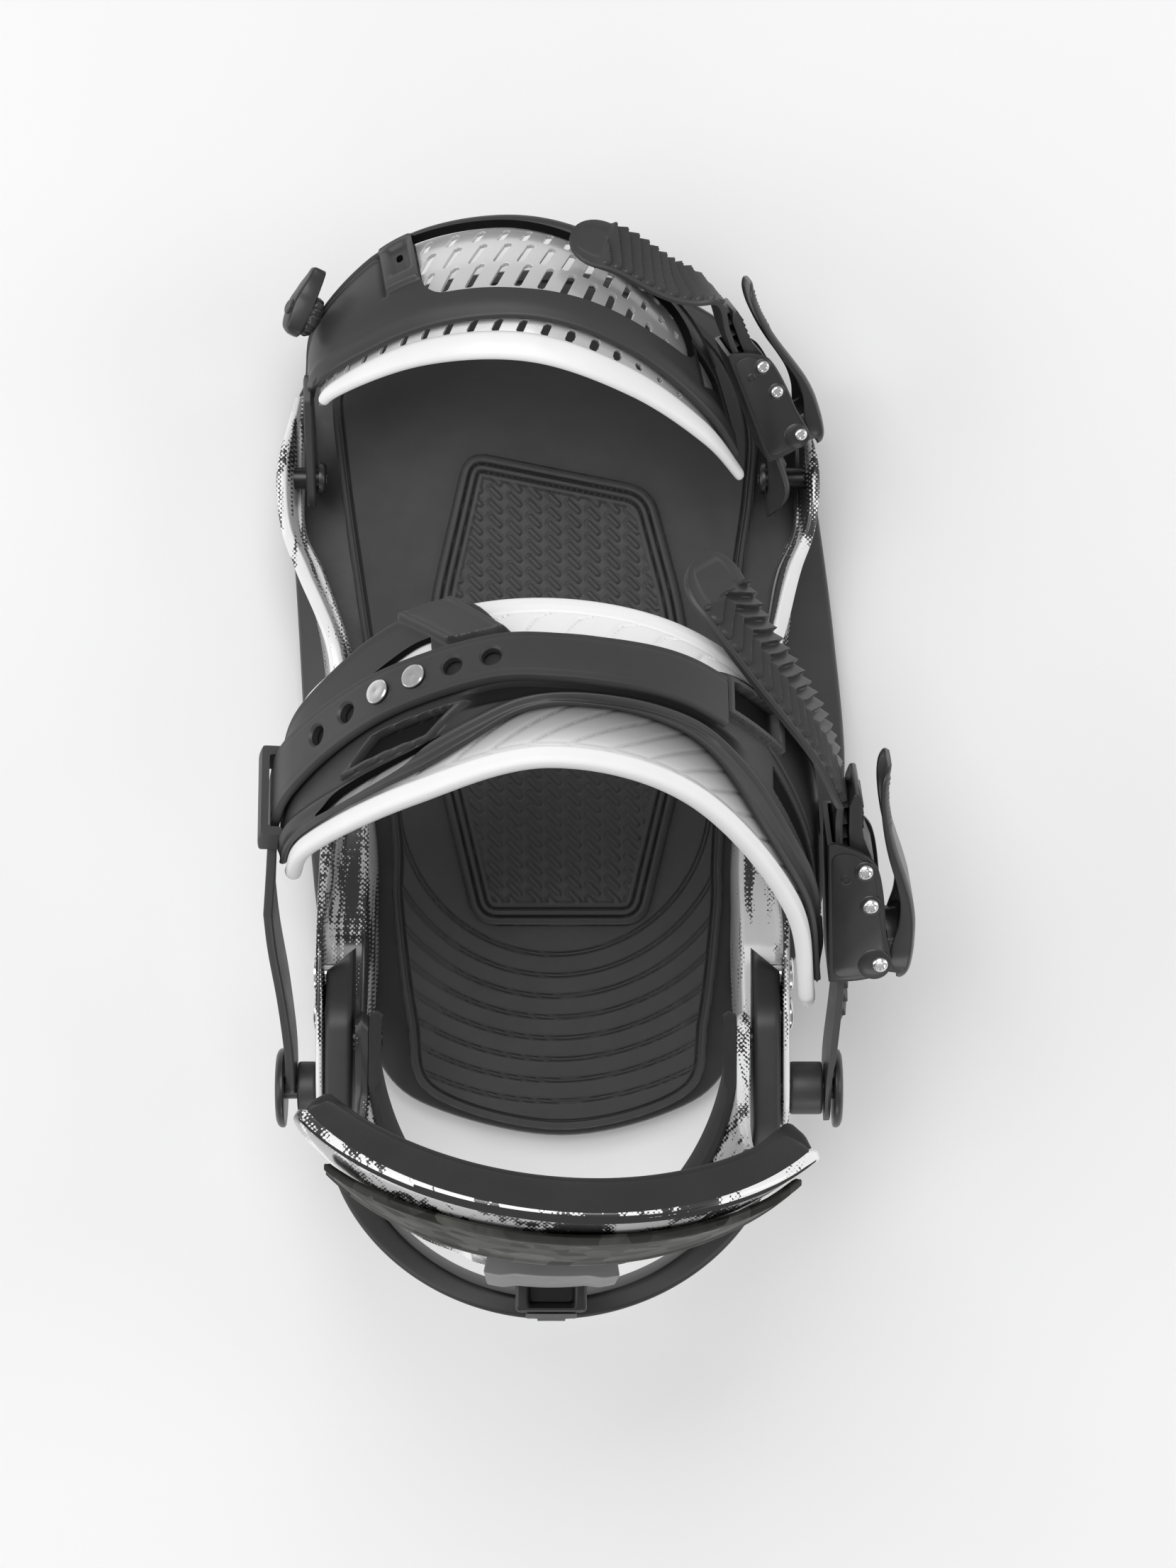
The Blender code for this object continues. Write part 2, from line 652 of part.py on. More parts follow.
def build_ankle_link():
    """The inner side's strap: from its pivot up the side and over the strap, with six holes."""
    points = []
    normals = []
    across = (-1, -0.4, 0.4, 1)
    arm_count = 8
    middle_layer = ANKLE_LINK_LAYER[0]
    for k in range(arm_count):
        t = k / arm_count
        at = spline(LINK_ARM, t)
        along = (spline(LINK_ARM, t + 0.02) - at).normalized()
        out = (Vector((-1, 0, 0)) - along * along.dot(Vector((-1, 0, 0)))).normalized()
        wide = out.cross(along).normalized()
        points.append([at + wide * LINK_HALF_W * a for a in across])
        normals.append([out for _ in across])
    for u in steps(*LINK_ARCH_U, 20):
        centre = ankle_surface(u, link_v(u))
        ps, ns = surface_grid(ankle_surface, [u], [0.2, link_v(u), 0.8])
        width = (ps[0][2] - ps[0][0]).length / 0.6
        half_v = link_half(u) / width
        ps, ns = surface_grid(ankle_surface, [u], [link_v(u) + half_v * a for a in across])
        points.append([p + n * middle_layer for p, n in zip(ps[0], ns[0])])
        normals.append(ns[0])
    thickness = ANKLE_LINK_LAYER[1] - ANKLE_LINK_LAYER[0]
    link = thick_sheet("ankle_link", points, normals, (0.0, thickness), DARK_PLASTIC, "ankle_strap")
    hole(link, ANKLE_PIVOT + Vector((-71, 0, 0)), (1, 0, 0), BOLT_R + BOLT_CLEARANCE, 6, "ankle_strap", 12)
    for u in LINK_HOLES_U:
        ps, ns = surface_grid(ankle_surface, [u], [link_v(u)])
        hole(link, ps[0][0] + ns[0][0] * 8, ns[0][0], 2.6, 4, "ankle_strap", 10)
    for number, u in enumerate(LINK_HOLES_U[2:4], 1):
        ps, ns = surface_grid(ankle_surface, [u], [link_v(u)])
        pin = ((2.2, 6.6), (2.2, 9.7), (3.3, 9.7), (3.3, 10.2), (2.9, 10.6))
        turned(f"link_pin_{number}", pin, ps[0][0], ns[0][0], STEEL, "ankle_strap", 12)


def build_keeper():
    """Bridge on the frame that holds the link strap down where it meets the ankle strap."""
    low = ANKLE_FRAME_LAYER[1] + 0.4
    under = ANKLE_LINK_LAYER[1] + 0.8
    top = under + 2.0
    inner = LINK_HALF_W + 1.0
    outer = inner + 2.2
    section = (
        (-outer, low), (-outer, top - 1), (-outer + 1, top), (outer - 1, top),
        (outer, top - 1), (outer, low), (inner, low), (inner, under), (-inner, under), (-inner, low),
    )
    rings = []
    for u in KEEPER_U:
        v = link_v(u)
        ps, ns = surface_grid(ankle_surface, [u], [v])
        wide = (ankle_surface(u, v + 0.1) - ankle_surface(u, v - 0.1)).normalized()
        rings.append([ps[0][0] + wide * a + ns[0][0] * b for a, b in section])
    loft("strap_keeper", rings, DARK_PLASTIC, "ankle_strap")


def build_ankle_pivots():
    for side, name in ((-1, "inner"), (1, "outer")):
        end = 69.4 if side < 0 else 73.2
        spacer = ((7.0, 64.4), (7.0, end - 1), (6.0, end), (3.6, end), (3.6, 64.4))
        tube(f"pivot_spacer_{name}", spacer, ANKLE_PIVOT.yz, side, "root")
        cap = 72.8 if side < 0 else 76.1
        bolt = (
            (3.2, cap + 0.9), (3.2, cap + 2.5), (9.6, cap + 2.5), (10.8, cap + 1.5),
            (10.8, cap), (BOLT_R, cap), (BOLT_R, 55.5),
        )
        at = (0, ANKLE_PIVOT.y, ANKLE_PIVOT.z)
        turned(f"ankle_pivot_{name}", bolt, at, (side, 0, 0), BUCKLE_BLACK, sides=20)


def tube(name, section, yz, side, body, mat=None):
    """Ring round an axis along X: section is a closed loop of (radius, distance)."""
    sides = 16
    verts = []
    faces = []
    count = len(section)
    for k in range(sides):
        turn = 2 * math.pi * k / sides
        for radius, along in section:
            verts.append(Vector((side * along, yz[0] + radius * math.cos(turn), yz[1] + radius * math.sin(turn))))
    for k in range(sides):
        for m in range(count):
            a = k * count + m
            b = k * count + (m + 1) % count
            c = ((k + 1) % sides) * count + (m + 1) % count
            d = ((k + 1) % sides) * count + m
            faces.append((a, b, c, d))
    return add_piece(name, verts, faces, mat or DARK_PLASTIC, body)


# ---------------------------------------------------------------- ratchets


class Frame:
    """Place of a ratchet: l runs along its ladder to the free tip, n outwards, w across."""

    def __init__(self, at, along, out, scale, body):
        self.at = Vector(at)
        self.l = Vector(along).normalized()
        out = Vector(out)
        self.n = (out - self.l * out.dot(self.l)).normalized()
        self.w = self.n.cross(self.l)
        self.scale = scale
        self.body = body

    def point(self, l, n, w):
        return self.at + (self.l * l + self.n * n + self.w * w) * self.scale


ANKLE_RATCHET = Frame((77.0, -50.0, 74.5), (-0.03, 0.915, 0.402), (1, 0, 0), 1.0, "ankle_strap")
TOE_RATCHET = Frame(
    (54.6, 84.6, 48.0), (-0.36, 0.868, 0.342), (0.924, 0.383, 0.0), TOE_RATCHET_SCALE, "toe_strap"
)

LEVER_PIN = (-14.4, 9.4)
MIDDLE_RIVET = (2.7, 7.0)
FRONT_RIVET = (12.6, 5.6)
PIN_R = 1.5
PIN_HOLE_R = 1.75

for joint, frame, pivot in (
    ("ankle_lever", ANKLE_RATCHET, LEVER_PIN),
    ("ankle_pawl", ANKLE_RATCHET, MIDDLE_RIVET),
    ("ankle_release", ANKLE_RATCHET, FRONT_RIVET),
    ("toe_lever", TOE_RATCHET, LEVER_PIN),
    ("toe_pawl", TOE_RATCHET, MIDDLE_RIVET),
    ("toe_release", TOE_RATCHET, FRONT_RIVET),
):
    BODY_AT[joint] = frame.point(*pivot, 0)


def slab(name, frame, outline, low_w, high_w, mat, body):
    """Plate with its outline along and out of the ladder, between two places across it."""
    rings = [[frame.point(l, n, w) for l, n in outline] for w in (low_w, high_w)]
    return loft(name, rings, mat, body)


def arc(centre, radius, start, end, count):
    """Points on an arc between two angles in degrees."""
    turns = [math.radians(a) for a in steps(start, end, count)]
    return [(centre[0] + radius * math.cos(a), centre[1] + radius * math.sin(a)) for a in turns]


def across_hole(obj, frame, place, radius, body):
    at = frame.point(*place, 0)
    hole(obj, at, frame.w, radius * frame.scale, 18 * frame.scale, body, 10)


def across_pin(name, frame, place, half, body):
    """Rivet across the ratchet: thin shank, round head at both ends."""
    head = 2.1
    profile = (
        (1.2, -half - 0.9), (head, -half - 0.4), (head, -half + 0.25), (PIN_R, -half + 0.25),
        (PIN_R, half - 0.25), (head, half - 0.25), (head, half + 0.4), (1.2, half + 0.9),
    )
    scaled = [(r * frame.scale, a * frame.scale) for r, a in profile]
    return turned(name, scaled, frame.point(*place, 0), frame.w, STEEL, body, 10)


def build_ratchet(kind, frame):
    body = frame.body
    side_heights = (
        (-19.5, 0.5), (-18.4, 8.5), (-14.4, 12.4), (-8, 12.0), (5, 10.6), (14.5, 8.8), (17.5, 6.5), (20.5, -1.2),
    )
    floor = (-4.2, -2.9)
    rings = []
    for l, height in side_heights:
        section = (
            (-WALL_OUT, floor[0]), (WALL_OUT, floor[0]), (WALL_OUT, height), (WALL_IN, height),
            (WALL_IN, floor[1]), (-WALL_IN, floor[1]), (-WALL_IN, height), (-WALL_OUT, height),
        )
        rings.append([frame.point(l, n, w) for w, n in section])
    channel = loft(f"{kind}_buckle_body", rings, BUCKLE_BLACK, body)
    for place in (LEVER_PIN, MIDDLE_RIVET, FRONT_RIVET):
        across_hole(channel, frame, place, PIN_HOLE_R, body)
    across_pin(f"{kind}_lever_pin", frame, LEVER_PIN, WALL_OUT + 0.6, body)
    across_pin(f"{kind}_pawl_pin", frame, MIDDLE_RIVET, WALL_OUT + 0.6, body)
    across_pin(f"{kind}_release_pin", frame, FRONT_RIVET, WALL_OUT + 0.6, body)
    build_lever(kind, frame)
    build_pawls(kind, frame)


def build_lever(kind, frame):
    body = f"{kind}_lever"
    # Along the ladder, inner face, outer face, half width
    stations = (
        (-21.5, 15.2, 16.6, 8.0), (-19, 14.2, 17.2, 11.0), (-14, 14.3, 18.4, 12.2), (-8, 14.8, 19.0, 12.2),
        (-2, 14.9, 19.2, 12.2), (6, 13.4, 17.6, 12.2), (13, 11.6, 15.4, 12.0), (20, 10.2, 13.4, 11.4),
        (28, 9.6, 12.2, 10.8), (34, 10.2, 12.4, 9.8), (38, 11.4, 13.0, 7.8),
    )
    rings = []
    for l, low, high, half in stations:
        edge = 0.8
        section = (
            (-half, low), (half, low), (half, high - edge), (half - edge, high),
            (-half + edge, high), (-half, high - edge),
        )
        rings.append([frame.point(l, n, w) for w, n in section])
    lever = loft(f"{kind}_lever", rings, BUCKLE_BLACK, body)
    for side in (-1, 1):
        lug = [*arc(LEVER_PIN, 3.6, 200, 340, 6), (-9.5, 15.6), (-18, 15.6)]
        a, b = sorted((side * 8.8, side * 11.6))
        piece = slab(f"guide_{kind}_lug_{'b' if side > 0 else 'a'}", frame, lug, a, b, None, body)
        boolean(lever, piece, "UNION")
    across_hole(lever, frame, LEVER_PIN, PIN_HOLE_R, body)
    spring(f"{kind}_lever_spring", frame, LEVER_PIN, body)


def spring(name, frame, place, body):
    """Torsion spring wound round the lever's pin."""
    turns = 3.5
    coil_r = 2.7
    wire_r = 0.42
    length = 9.0
    per_turn = 8
    rings = []
    count = int(turns * per_turn)
    for k in range(count + 1):
        angle = 2 * math.pi * k / per_turn
        c, s = math.cos(angle), math.sin(angle)
        w = length * (k / count - 0.5)
        ring = []
        for m in range(4):
            a = 2 * math.pi * m / 4
            radius = coil_r + wire_r * math.cos(a)
            ring.append(frame.point(place[0] + radius * c, place[1] + radius * s, w + wire_r * math.sin(a)))
        rings.append(ring)
    loft(name, rings, STEEL, body)


def build_pawls(kind, frame):
    body = f"{kind}_pawl"
    outline = [
        (-8.5, 1.9), (-6.5, 1.9), (0.5, 4.4), *arc(MIDDLE_RIVET, 3.0, -50, 120, 7), (-3, 8.6), (-8.5, 6.0),
    ]
    pawl = slab(f"{kind}_pawl", frame, outline, -7.5, 7.5, STEEL, body)
    across_hole(pawl, frame, MIDDLE_RIVET, PIN_HOLE_R, body)
    body = f"{kind}_release"
    outline = [
        *arc(FRONT_RIVET, 2.9, 100, 250, 6), (16, 1.8), (30, 1.8), (33, 3.0), (33, 4.6), (30, 5.2), (20, 5.6),
    ]
    release = slab(f"{kind}_release_lever", frame, outline, -10.8, 10.8, BUCKLE_BLACK, body)
    across_hole(release, frame, FRONT_RIVET, PIN_HOLE_R, body)


def build_ladder(name, path, outs, scale, body, plain_start, plain_end, eye):
    """Toothed strap along a path; outs are its outward directions at the path's points."""
    fine = 400
    spots = [spline(path, k / fine) for k in range(fine + 1)]
    lengths = [0.0]
    for a, b in zip(spots, spots[1:]):
        lengths.append(lengths[-1] + (b - a).length)
    total = lengths[-1]

    def parameter(distance):
        k = 0
        while k < fine - 1 and lengths[k + 1] < distance:
            k += 1
        return (k + (distance - lengths[k]) / (lengths[k + 1] - lengths[k])) / fine

    stations = [(d, 0.0) for d in steps(0, plain_start, 5)]
    pitch = LADDER_TOOTH_PITCH * scale
    d = plain_start
    while d + pitch < total - plain_end:
        stations.append((d + 0.3, 1.0))
        stations.append((d + pitch, 0.12))
        d += pitch
    stations += [(d + (total - d) * k / 6, 0.0) for k in range(1, 7)]
    half = LADDER_HALF_W * scale
    tip_r = half
    rings = []
    for distance, tooth in stations:
        t = parameter(distance)
        at = spline(path, t)
        ahead = spline(path, min(t + 0.004, 1.0))
        behind = spline(path, max(t - 0.004, 0.0))
        along = (ahead - behind).normalized()
        out = Vector(spline(outs, t))
        out = (out - along * out.dot(along)).normalized()
        wide = out.cross(along)
        low = -1.9 * scale
        high = low + (LADDER_BASE_T + LADDER_TOOTH_H * tooth) * scale
        reach = half
        to_tip = total - distance
        if to_tip < tip_r:
            reach = max(math.sqrt(max(tip_r**2 - (tip_r - to_tip) ** 2, 0.0)), 2.0 * scale)
        if distance < eye:
            reach = blend(eye, half, ease(distance / (2 * eye)))
        section = ((-reach, low), (reach, low), (reach, high), (-reach, high))
        rings.append([at + wide * a + out * b for a, b in section])
    return loft(name, rings, DARK_PLASTIC, body)


def ratchet_path(frame, root, root_outs, tip, tip_outs, reaches):
    """Ladder route: its root, a straight run through the ratchet, then its free tip."""
    run = [frame.point(l, 0, 0) for l in reaches]
    path = [Vector(p) for p in root] + run + [Vector(p) for p in tip]
    outs = [Vector(p) for p in root_outs] + [frame.n] * len(run) + [Vector(p) for p in tip_outs]
    return path, outs


def build_ladders():
    path, outs = ratchet_path(
        ANKLE_RATCHET,
        ((75.6, -112, 46.5), (75.6, -98.5, 52.6), (76.8, -84.8, 59.0)), ((1, 0, 0), (1, 0, 0), (1, 0, 0)),
        ((70.8, -9, 97), (63.5, 1.5, 104), (55, 12.5, 109.5), (46.5, 25, 113), (38.5, 38, 113.5)),
        ((0.95, 0.2, 0.25), (0.85, 0.3, 0.45), (0.75, 0.35, 0.55), (0.65, 0.35, 0.65), (0.5, 0.35, 0.75)),
        (-24, -12, 0, 12, 24, 32),
    )
    ladder = build_ladder("ankle_ladder", path, outs, 1.0, "ankle_strap", 34, 12, 8)
    hole(ladder, ANKLE_PIVOT + Vector((74, 0, 0)), (1, 0, 0), BOLT_R + BOLT_CLEARANCE, 6, "ankle_strap", 12)
    path, outs = ratchet_path(
        TOE_RATCHET,
        ((60.8, 60.5, 17), (61.0, 61.6, 27)), ((1, 0, 0), (1, 0.02, 0)),
        ((31.5, 115.5, 62.5), (18.5, 122.5, 66.0), (5, 127, 67.0)),
        ((0.55, 0.6, 0.6), (0.35, 0.6, 0.75), (0.2, 0.55, 0.8)),
        (-26, -13, 0, 13, 26, 39),
    )
    ladder = build_ladder("toe_ladder", path, outs, TOE_RATCHET_SCALE, "toe_strap", 26, 10, 7)
    at = Vector((61, TOE_PIVOT.y, TOE_PIVOT.z))
    hole(ladder, at, (1, 0, 0), BOLT_R + BOLT_CLEARANCE, 6, "toe_strap", 12)


# ---------------------------------------------------------------- toe strap

TOE_HEEL_EDGE = (
    (-64, 78, 40), (-58, 84, 58), (-34, 91.5, 72), (-6, 92, 77), (20, 83.5, 73), (40, 71.5, 61), (51, 61, 45),
)
TOE_FRONT_EDGE = (
    (-64, 90, 38), (-60, 106, 46), (-40, 124, 50), (-12, 130, 50), (12, 124, 50), (32, 107, 48), (43.5, 85, 44),
)
TOE_CROWN = 6.0


def toe_surface(u, v):
    """Boot side of the toe strap: u from the inner side, v from the heel edge to the front."""
    point = spline(TOE_HEEL_EDGE, u).lerp(spline(TOE_FRONT_EDGE, u), v)
    crown = TOE_CROWN * math.sin(math.pi * v) * math.sin(math.pi * u)
    return point + Vector((0, 0.5, 0.85)) * crown


def build_toe_strap():
    us = steps(0.08, 0.93, 18)
    points, normals = surface_grid(toe_surface, us, steps(0.17, 0.97, 4))
    thick_sheet("toe_web", points, normals, TOE_WEB_LAYER, SILVER_WEB, "toe_strap")
    points, normals = surface_grid(toe_surface, steps(0.01, 0.98, 22), steps(0.0, 0.14, 1))
    thick_sheet("toe_trim", points, normals, TOE_TRIM_LAYER, WHITE_PAD, "toe_strap")

    def solid(i, j):
        return not (8 <= i < 19 and 2 <= j < 5)

    points, normals = surface_grid(toe_surface, steps(0.0, 0.95, 23), steps(0.08, 1.0, 6))
    frame = thick_sheet("toe_frame", points, normals, TOE_FRAME_LAYER, DARK_PLASTIC, "toe_strap", solid)
    eye = TOE_PIVOT.yz
    outline = [*arc(eye, 8.0, 130, 320, 8), (90, 40), (91, 45), (83, 46)]
    rings = [[Vector((x, y, z)) for y, z in outline] for x in (-68.6, -66.0)]
    tab = loft("guide_toe_anchor", rings, None, "toe_strap")
    boolean(frame, tab, "UNION")
    hole(frame, (-67, *eye), (1, 0, 0), BOLT_R + BOLT_CLEARANCE, 5, "toe_strap", 12)


KNOB_UV = (0.165, 0.84)


def build_toe_knob():
    """Winged knob that sets the toe strap's length on the inner side."""
    ps, ns = surface_grid(toe_surface, [KNOB_UV[0]], [KNOB_UV[1]])
    at = ps[0][0]
    out = ns[0][0]
    low = TOE_FRAME_LAYER[1] + 1.2
    profile = ((5.0, low), (5.6, low + 0.6), (5.6, low + 3.0), (4.6, low + 3.8))
    BODY_AT["toe_knob"] = at + out * low
    knob = turned("toe_knob", profile, at, out, BUCKLE_BLACK, "toe_knob", 16)
    forward = (Vector((0, 1, 0.15)) - out * out.dot(Vector((0, 1, 0.15)))).normalized()
    side = out.cross(forward)
    rings = []
    # Along the wing: how far from the knob's axis, half width, height of its top
    wing = ((-6.5, 2.6, 6.2), (-5, 4.2, 7.4), (2, 4.2, 8.2), (8, 3.4, 7.0), (12.5, 2.4, 6.4))
    for reach, half_w, height in wing:
        corners = ((-half_w, 3.0), (half_w, 3.0), (half_w * 0.6, height), (-half_w * 0.6, height))
        rings.append([at + out * (low + b) + forward * reach + side * a for a, b in corners])
    boolean(knob, loft("guide_toe_wing", rings, None, "toe_knob"), "UNION")


def build_toe_bolts():
    for side, name, inner, outer in ((-1, "inner", 63.4, 73.4), (1, "outer", 57.0, 70.4)):
        bolt = (
            (3.6, inner), (4.4, inner + 0.6), (4.4, inner + 1.8), (BOLT_R, inner + 1.8),
            (BOLT_R, outer - 0.6), (BOLT_R - 0.6, outer),
        )
        at = (0, TOE_PIVOT.y, TOE_PIVOT.z)
        turned(f"toe_bolt_{name}", bolt, at, (side, 0, 0), STEEL, sides=12)


# ---------------------------------------------------------------- finish


def main():
    for obj in list(bpy.data.objects):
        bpy.data.objects.remove(obj, do_unlink=True)
    build_base()
    build_disc()
    build_hoop()
    build_highback()
    build_ankle_strap()
    build_keeper()
    build_ankle_pivots()
    build_ratchet("ankle", ANKLE_RATCHET)
    build_ratchet("toe", TOE_RATCHET)
    build_ladders()
    build_toe_strap()
    build_toe_bolts()
    build_toe_knob()


main()
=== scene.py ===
"""Looks of a strap-in snowboard binding for the right foot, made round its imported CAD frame.

Lengths are millimetres in the CAD's own frame (toe towards +Y, outer side of the foot towards
+X, board plane at Z = 0) and become metres when a mesh is made.
"""

import json
import math

import bmesh
import bpy
import numpy as np
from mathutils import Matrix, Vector


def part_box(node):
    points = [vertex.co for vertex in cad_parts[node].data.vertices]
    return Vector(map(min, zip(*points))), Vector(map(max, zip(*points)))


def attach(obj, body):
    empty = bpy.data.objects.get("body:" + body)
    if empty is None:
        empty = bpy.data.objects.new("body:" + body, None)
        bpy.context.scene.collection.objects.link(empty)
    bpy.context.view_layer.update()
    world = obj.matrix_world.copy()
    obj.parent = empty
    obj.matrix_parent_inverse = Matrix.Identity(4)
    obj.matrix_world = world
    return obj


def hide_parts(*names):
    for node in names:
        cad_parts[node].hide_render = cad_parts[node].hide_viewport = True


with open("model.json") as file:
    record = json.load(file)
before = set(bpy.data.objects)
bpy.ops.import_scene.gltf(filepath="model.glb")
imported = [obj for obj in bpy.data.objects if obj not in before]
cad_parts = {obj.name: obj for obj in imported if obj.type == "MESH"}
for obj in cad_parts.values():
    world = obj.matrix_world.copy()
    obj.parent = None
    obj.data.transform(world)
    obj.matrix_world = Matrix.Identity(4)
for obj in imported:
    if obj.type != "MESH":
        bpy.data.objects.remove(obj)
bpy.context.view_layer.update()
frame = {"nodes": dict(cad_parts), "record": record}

MM = 0.001

RECORD = frame["record"]
BODY_OF = {node: body for body, nodes in RECORD["behaviour"]["bodies"].items() for node in nodes}

# Places of the pivots, read from the frame's joints
JOINTS = {joint["name"]: joint for joint in RECORD["behaviour"]["joints"]}


def joint_at(name):
    return np.array(JOINTS[name]["pos_m"]) / MM


ANKLE_PIVOT = joint_at("ankle_strap_swing")
HIGHBACK_PIVOT = joint_at("highback_fold")
TOE_PIVOT = joint_at("toe_strap_swing")

# Layers of the straps, as offsets outwards from the surface that faces the boot
ANKLE_PAD_LAYER = (0.0, 3.5)
ANKLE_FRAME_LAYER = (3.9, 6.1)
ANKLE_LINK_LAYER = (6.8, 9.3)
TOE_FRAME_LAYER = (1.9, 4.9)


# ---------------------------------------------------------------- numbers and curves


def unit(v):
    v = np.asarray(v, float)
    return v / np.linalg.norm(v, axis=-1, keepdims=True)


def spline(points, t):
    """Points at t, 0 to 1, on the smooth curve through evenly spaced points."""
    p = np.array(points, float)
    if p.ndim == 1:
        p = p[:, None]
    p = np.vstack([2 * p[0] - p[1], p, 2 * p[-1] - p[-2]])
    spans = len(p) - 3
    at = np.clip(np.asarray(t, float), 0, 1) * spans
    i = np.minimum(at.astype(int), spans - 1)
    f = (at - i)[..., None]
    a, b, c, d = p[i], p[i + 1], p[i + 2], p[i + 3]
    return b + f * (c - a) / 2 + f**2 * (2 * a - 5 * b + 4 * c - d) / 2 + f**3 * (3 * b - a - 3 * c + d) / 2


def curve(keys, t, soft=0.035):
    """Value at t through (t, value) pairs, its corners rounded over about soft either way."""
    keys = np.array(keys, float)
    t = np.asarray(t, float)
    shifts = soft * np.linspace(-1, 1, 9)
    weights = 1 + np.cos(math.pi * shifts / soft * 0.9)
    return sum(w * np.interp(t + d, keys[:, 0], keys[:, 1]) for w, d in zip(weights, shifts)) / weights.sum()


def closed_spline(points, per_span):
    p = np.array(points, float)
    count = len(p)
    loop = []
    for i in range(count):
        near = [p[(i + k) % count] for k in (-1, 0, 1, 2)]
        loop.append(spline(near, (1 + np.arange(per_span) / per_span) / 3))
    return np.vstack(loop)


def ease(t):
    t = np.clip(t, 0.0, 1.0)
    return t * t * (3 - 2 * t)


def blend(a, b, t):
    return a + (b - a) * t


def line(x, centre, width):
    """Soft ridge of height 1 and about the given full width."""
    return np.exp(-(((x - centre) / (width / 2)) ** 2) * 1.6)


def inside(x, low, high, soft):
    """1 between low and high, 0 outside, with soft sides."""
    return ease((x - low) / soft + 0.5) * ease((high - x) / soft + 0.5)


def round_edge(share):
    """Height of a quarter-round edge, 0 to 1, at a share of its width from the border."""
    return np.sqrt(np.clip(1 - (1 - np.clip(share, 0, 1)) ** 2, 0, 1))


def arc(centre, radius, start, end, count):
    turns = np.radians(np.linspace(start, end, count + 1))
    return [(centre[0] + radius * math.cos(a), centre[1] + radius * math.sin(a)) for a in turns]


def far_from(points, outline):
    """Distance of each XY point from a dense closed outline."""
    flat = points.reshape(-1, 2)
    nearest = np.full(len(flat), 1e9)
    for start in range(0, len(outline), 40):
        part = outline[start:start + 40]
        gaps = np.hypot(flat[:, None, 0] - part[None, :, 0], flat[:, None, 1] - part[None, :, 1])
        nearest = np.minimum(nearest, gaps.min(axis=1))
    return nearest.reshape(points.shape[:-1])


# ---------------------------------------------------------------- meshes


def piece(name, verts, faces, mat, nodes, angle=38, bevel=0.0, uvs=None, rides=None):
    """Visible mesh object that stands for the CAD nodes and rides on the first one's body."""
    mesh = bpy.data.meshes.new(name)
    mesh.from_pydata((np.asarray(verts, float) * MM).tolist(), [], faces)
    if uvs is not None:
        layer = mesh.uv_layers.new(name="strap")
        index = np.empty(len(mesh.loops), dtype=np.int64)
        mesh.loops.foreach_get("vertex_index", index)
        layer.data.foreach_set("uv", np.asarray(uvs, float)[index].ravel())
    bm = bmesh.new()
    bm.from_mesh(mesh)
    bmesh.ops.recalc_face_normals(bm, faces=bm.faces)
    bm.to_mesh(mesh)
    bm.free()
    mesh.materials.append(mat)
    mesh.shade_smooth()
    mesh.set_sharp_from_angle(angle=math.radians(angle))
    obj = bpy.data.objects.new(name, mesh)
    bpy.context.scene.collection.objects.link(obj)
    if bevel:
        mod = obj.modifiers.new("edges", "BEVEL")
        mod.width = bevel * MM
        mod.segments = 2
        mod.limit_method = "ANGLE"
        mod.angle_limit = math.radians(35)
    if isinstance(nodes, str):
        nodes = (nodes,)
    if nodes:
        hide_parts(*nodes)
    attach(obj, BODY_OF[rides or nodes[0]])
    return obj


def solid_mesh(low, high, keep=None):
    """Vertices and faces of a closed solid between two grids, and which grid points it uses."""
    rows, cols = low.shape[:2]
    if keep is None:
        keep = np.ones((rows - 1, cols - 1), bool)
    padded = np.zeros((rows + 1, cols + 1), bool)
    padded[1:-1, 1:-1] = keep
    number = np.arange(rows * cols).reshape(rows, cols)
    skin = rows * cols
    faces = []
    for i, j in np.argwhere(keep):
        a, b, c, d = number[i, j], number[i + 1, j], number[i + 1, j + 1], number[i, j + 1]
        faces.append((d, c, b, a))
        faces.append((a + skin, b + skin, c + skin, d + skin))
        sides = (
            (padded[i + 1, j], a, b), (padded[i + 2, j + 1], b, c),
            (padded[i + 1, j + 2], c, d), (padded[i, j + 1], d, a),
        )
        for closed, p, q in sides:
            if not closed:
                faces.append((p, q, q + skin, p + skin))
    used = np.unique(np.array([k for f in faces for k in f]))
    order = np.full(2 * skin, -1)
    order[used] = np.arange(len(used))
    faces = [tuple(int(order[k]) for k in f) for f in faces]
    return np.vstack([low.reshape(-1, 3), high.reshape(-1, 3)])[used], faces, used


def solid(name, low, high, mat, nodes, keep=None, params=None, **more):
    """Closed solid between two grids of points; keep says which cells have material."""
    verts, faces, used = solid_mesh(low, high, keep)
    uvs = None if params is None else np.vstack([params.reshape(-1, 2)] * 2)[used]
    return piece(name, verts, faces, mat, nodes, uvs=uvs, **more)


def patch_cutter(surface, u, v, inner, outer):
    """Closed mesh over a patch of a strap surface, for cutting a window through it."""
    points, normals = surface_frame(surface, u, v)
    return solid_mesh(points + normals * inner, points + normals * outer)[:2]


def ribbon_cutter(surface, keys, inner, outer, count=24):
    """Cutter along (u, v, half width in mm) keys on a strap surface."""
    u, v, half = spline(keys, np.linspace(0, 1, count)).T
    points, normals = surface_frame(surface, u, v)
    along = unit(np.gradient(points, axis=0))
    wide = np.cross(normals, along) * half[:, None]
    rings = []
    for place, out, side in zip(points, normals, wide):
        corners = ((-1, inner), (1, inner), (1, outer), (-1, outer))
        rings.append([place + side * way + out * height for way, height in corners])
    return loft_mesh(rings)


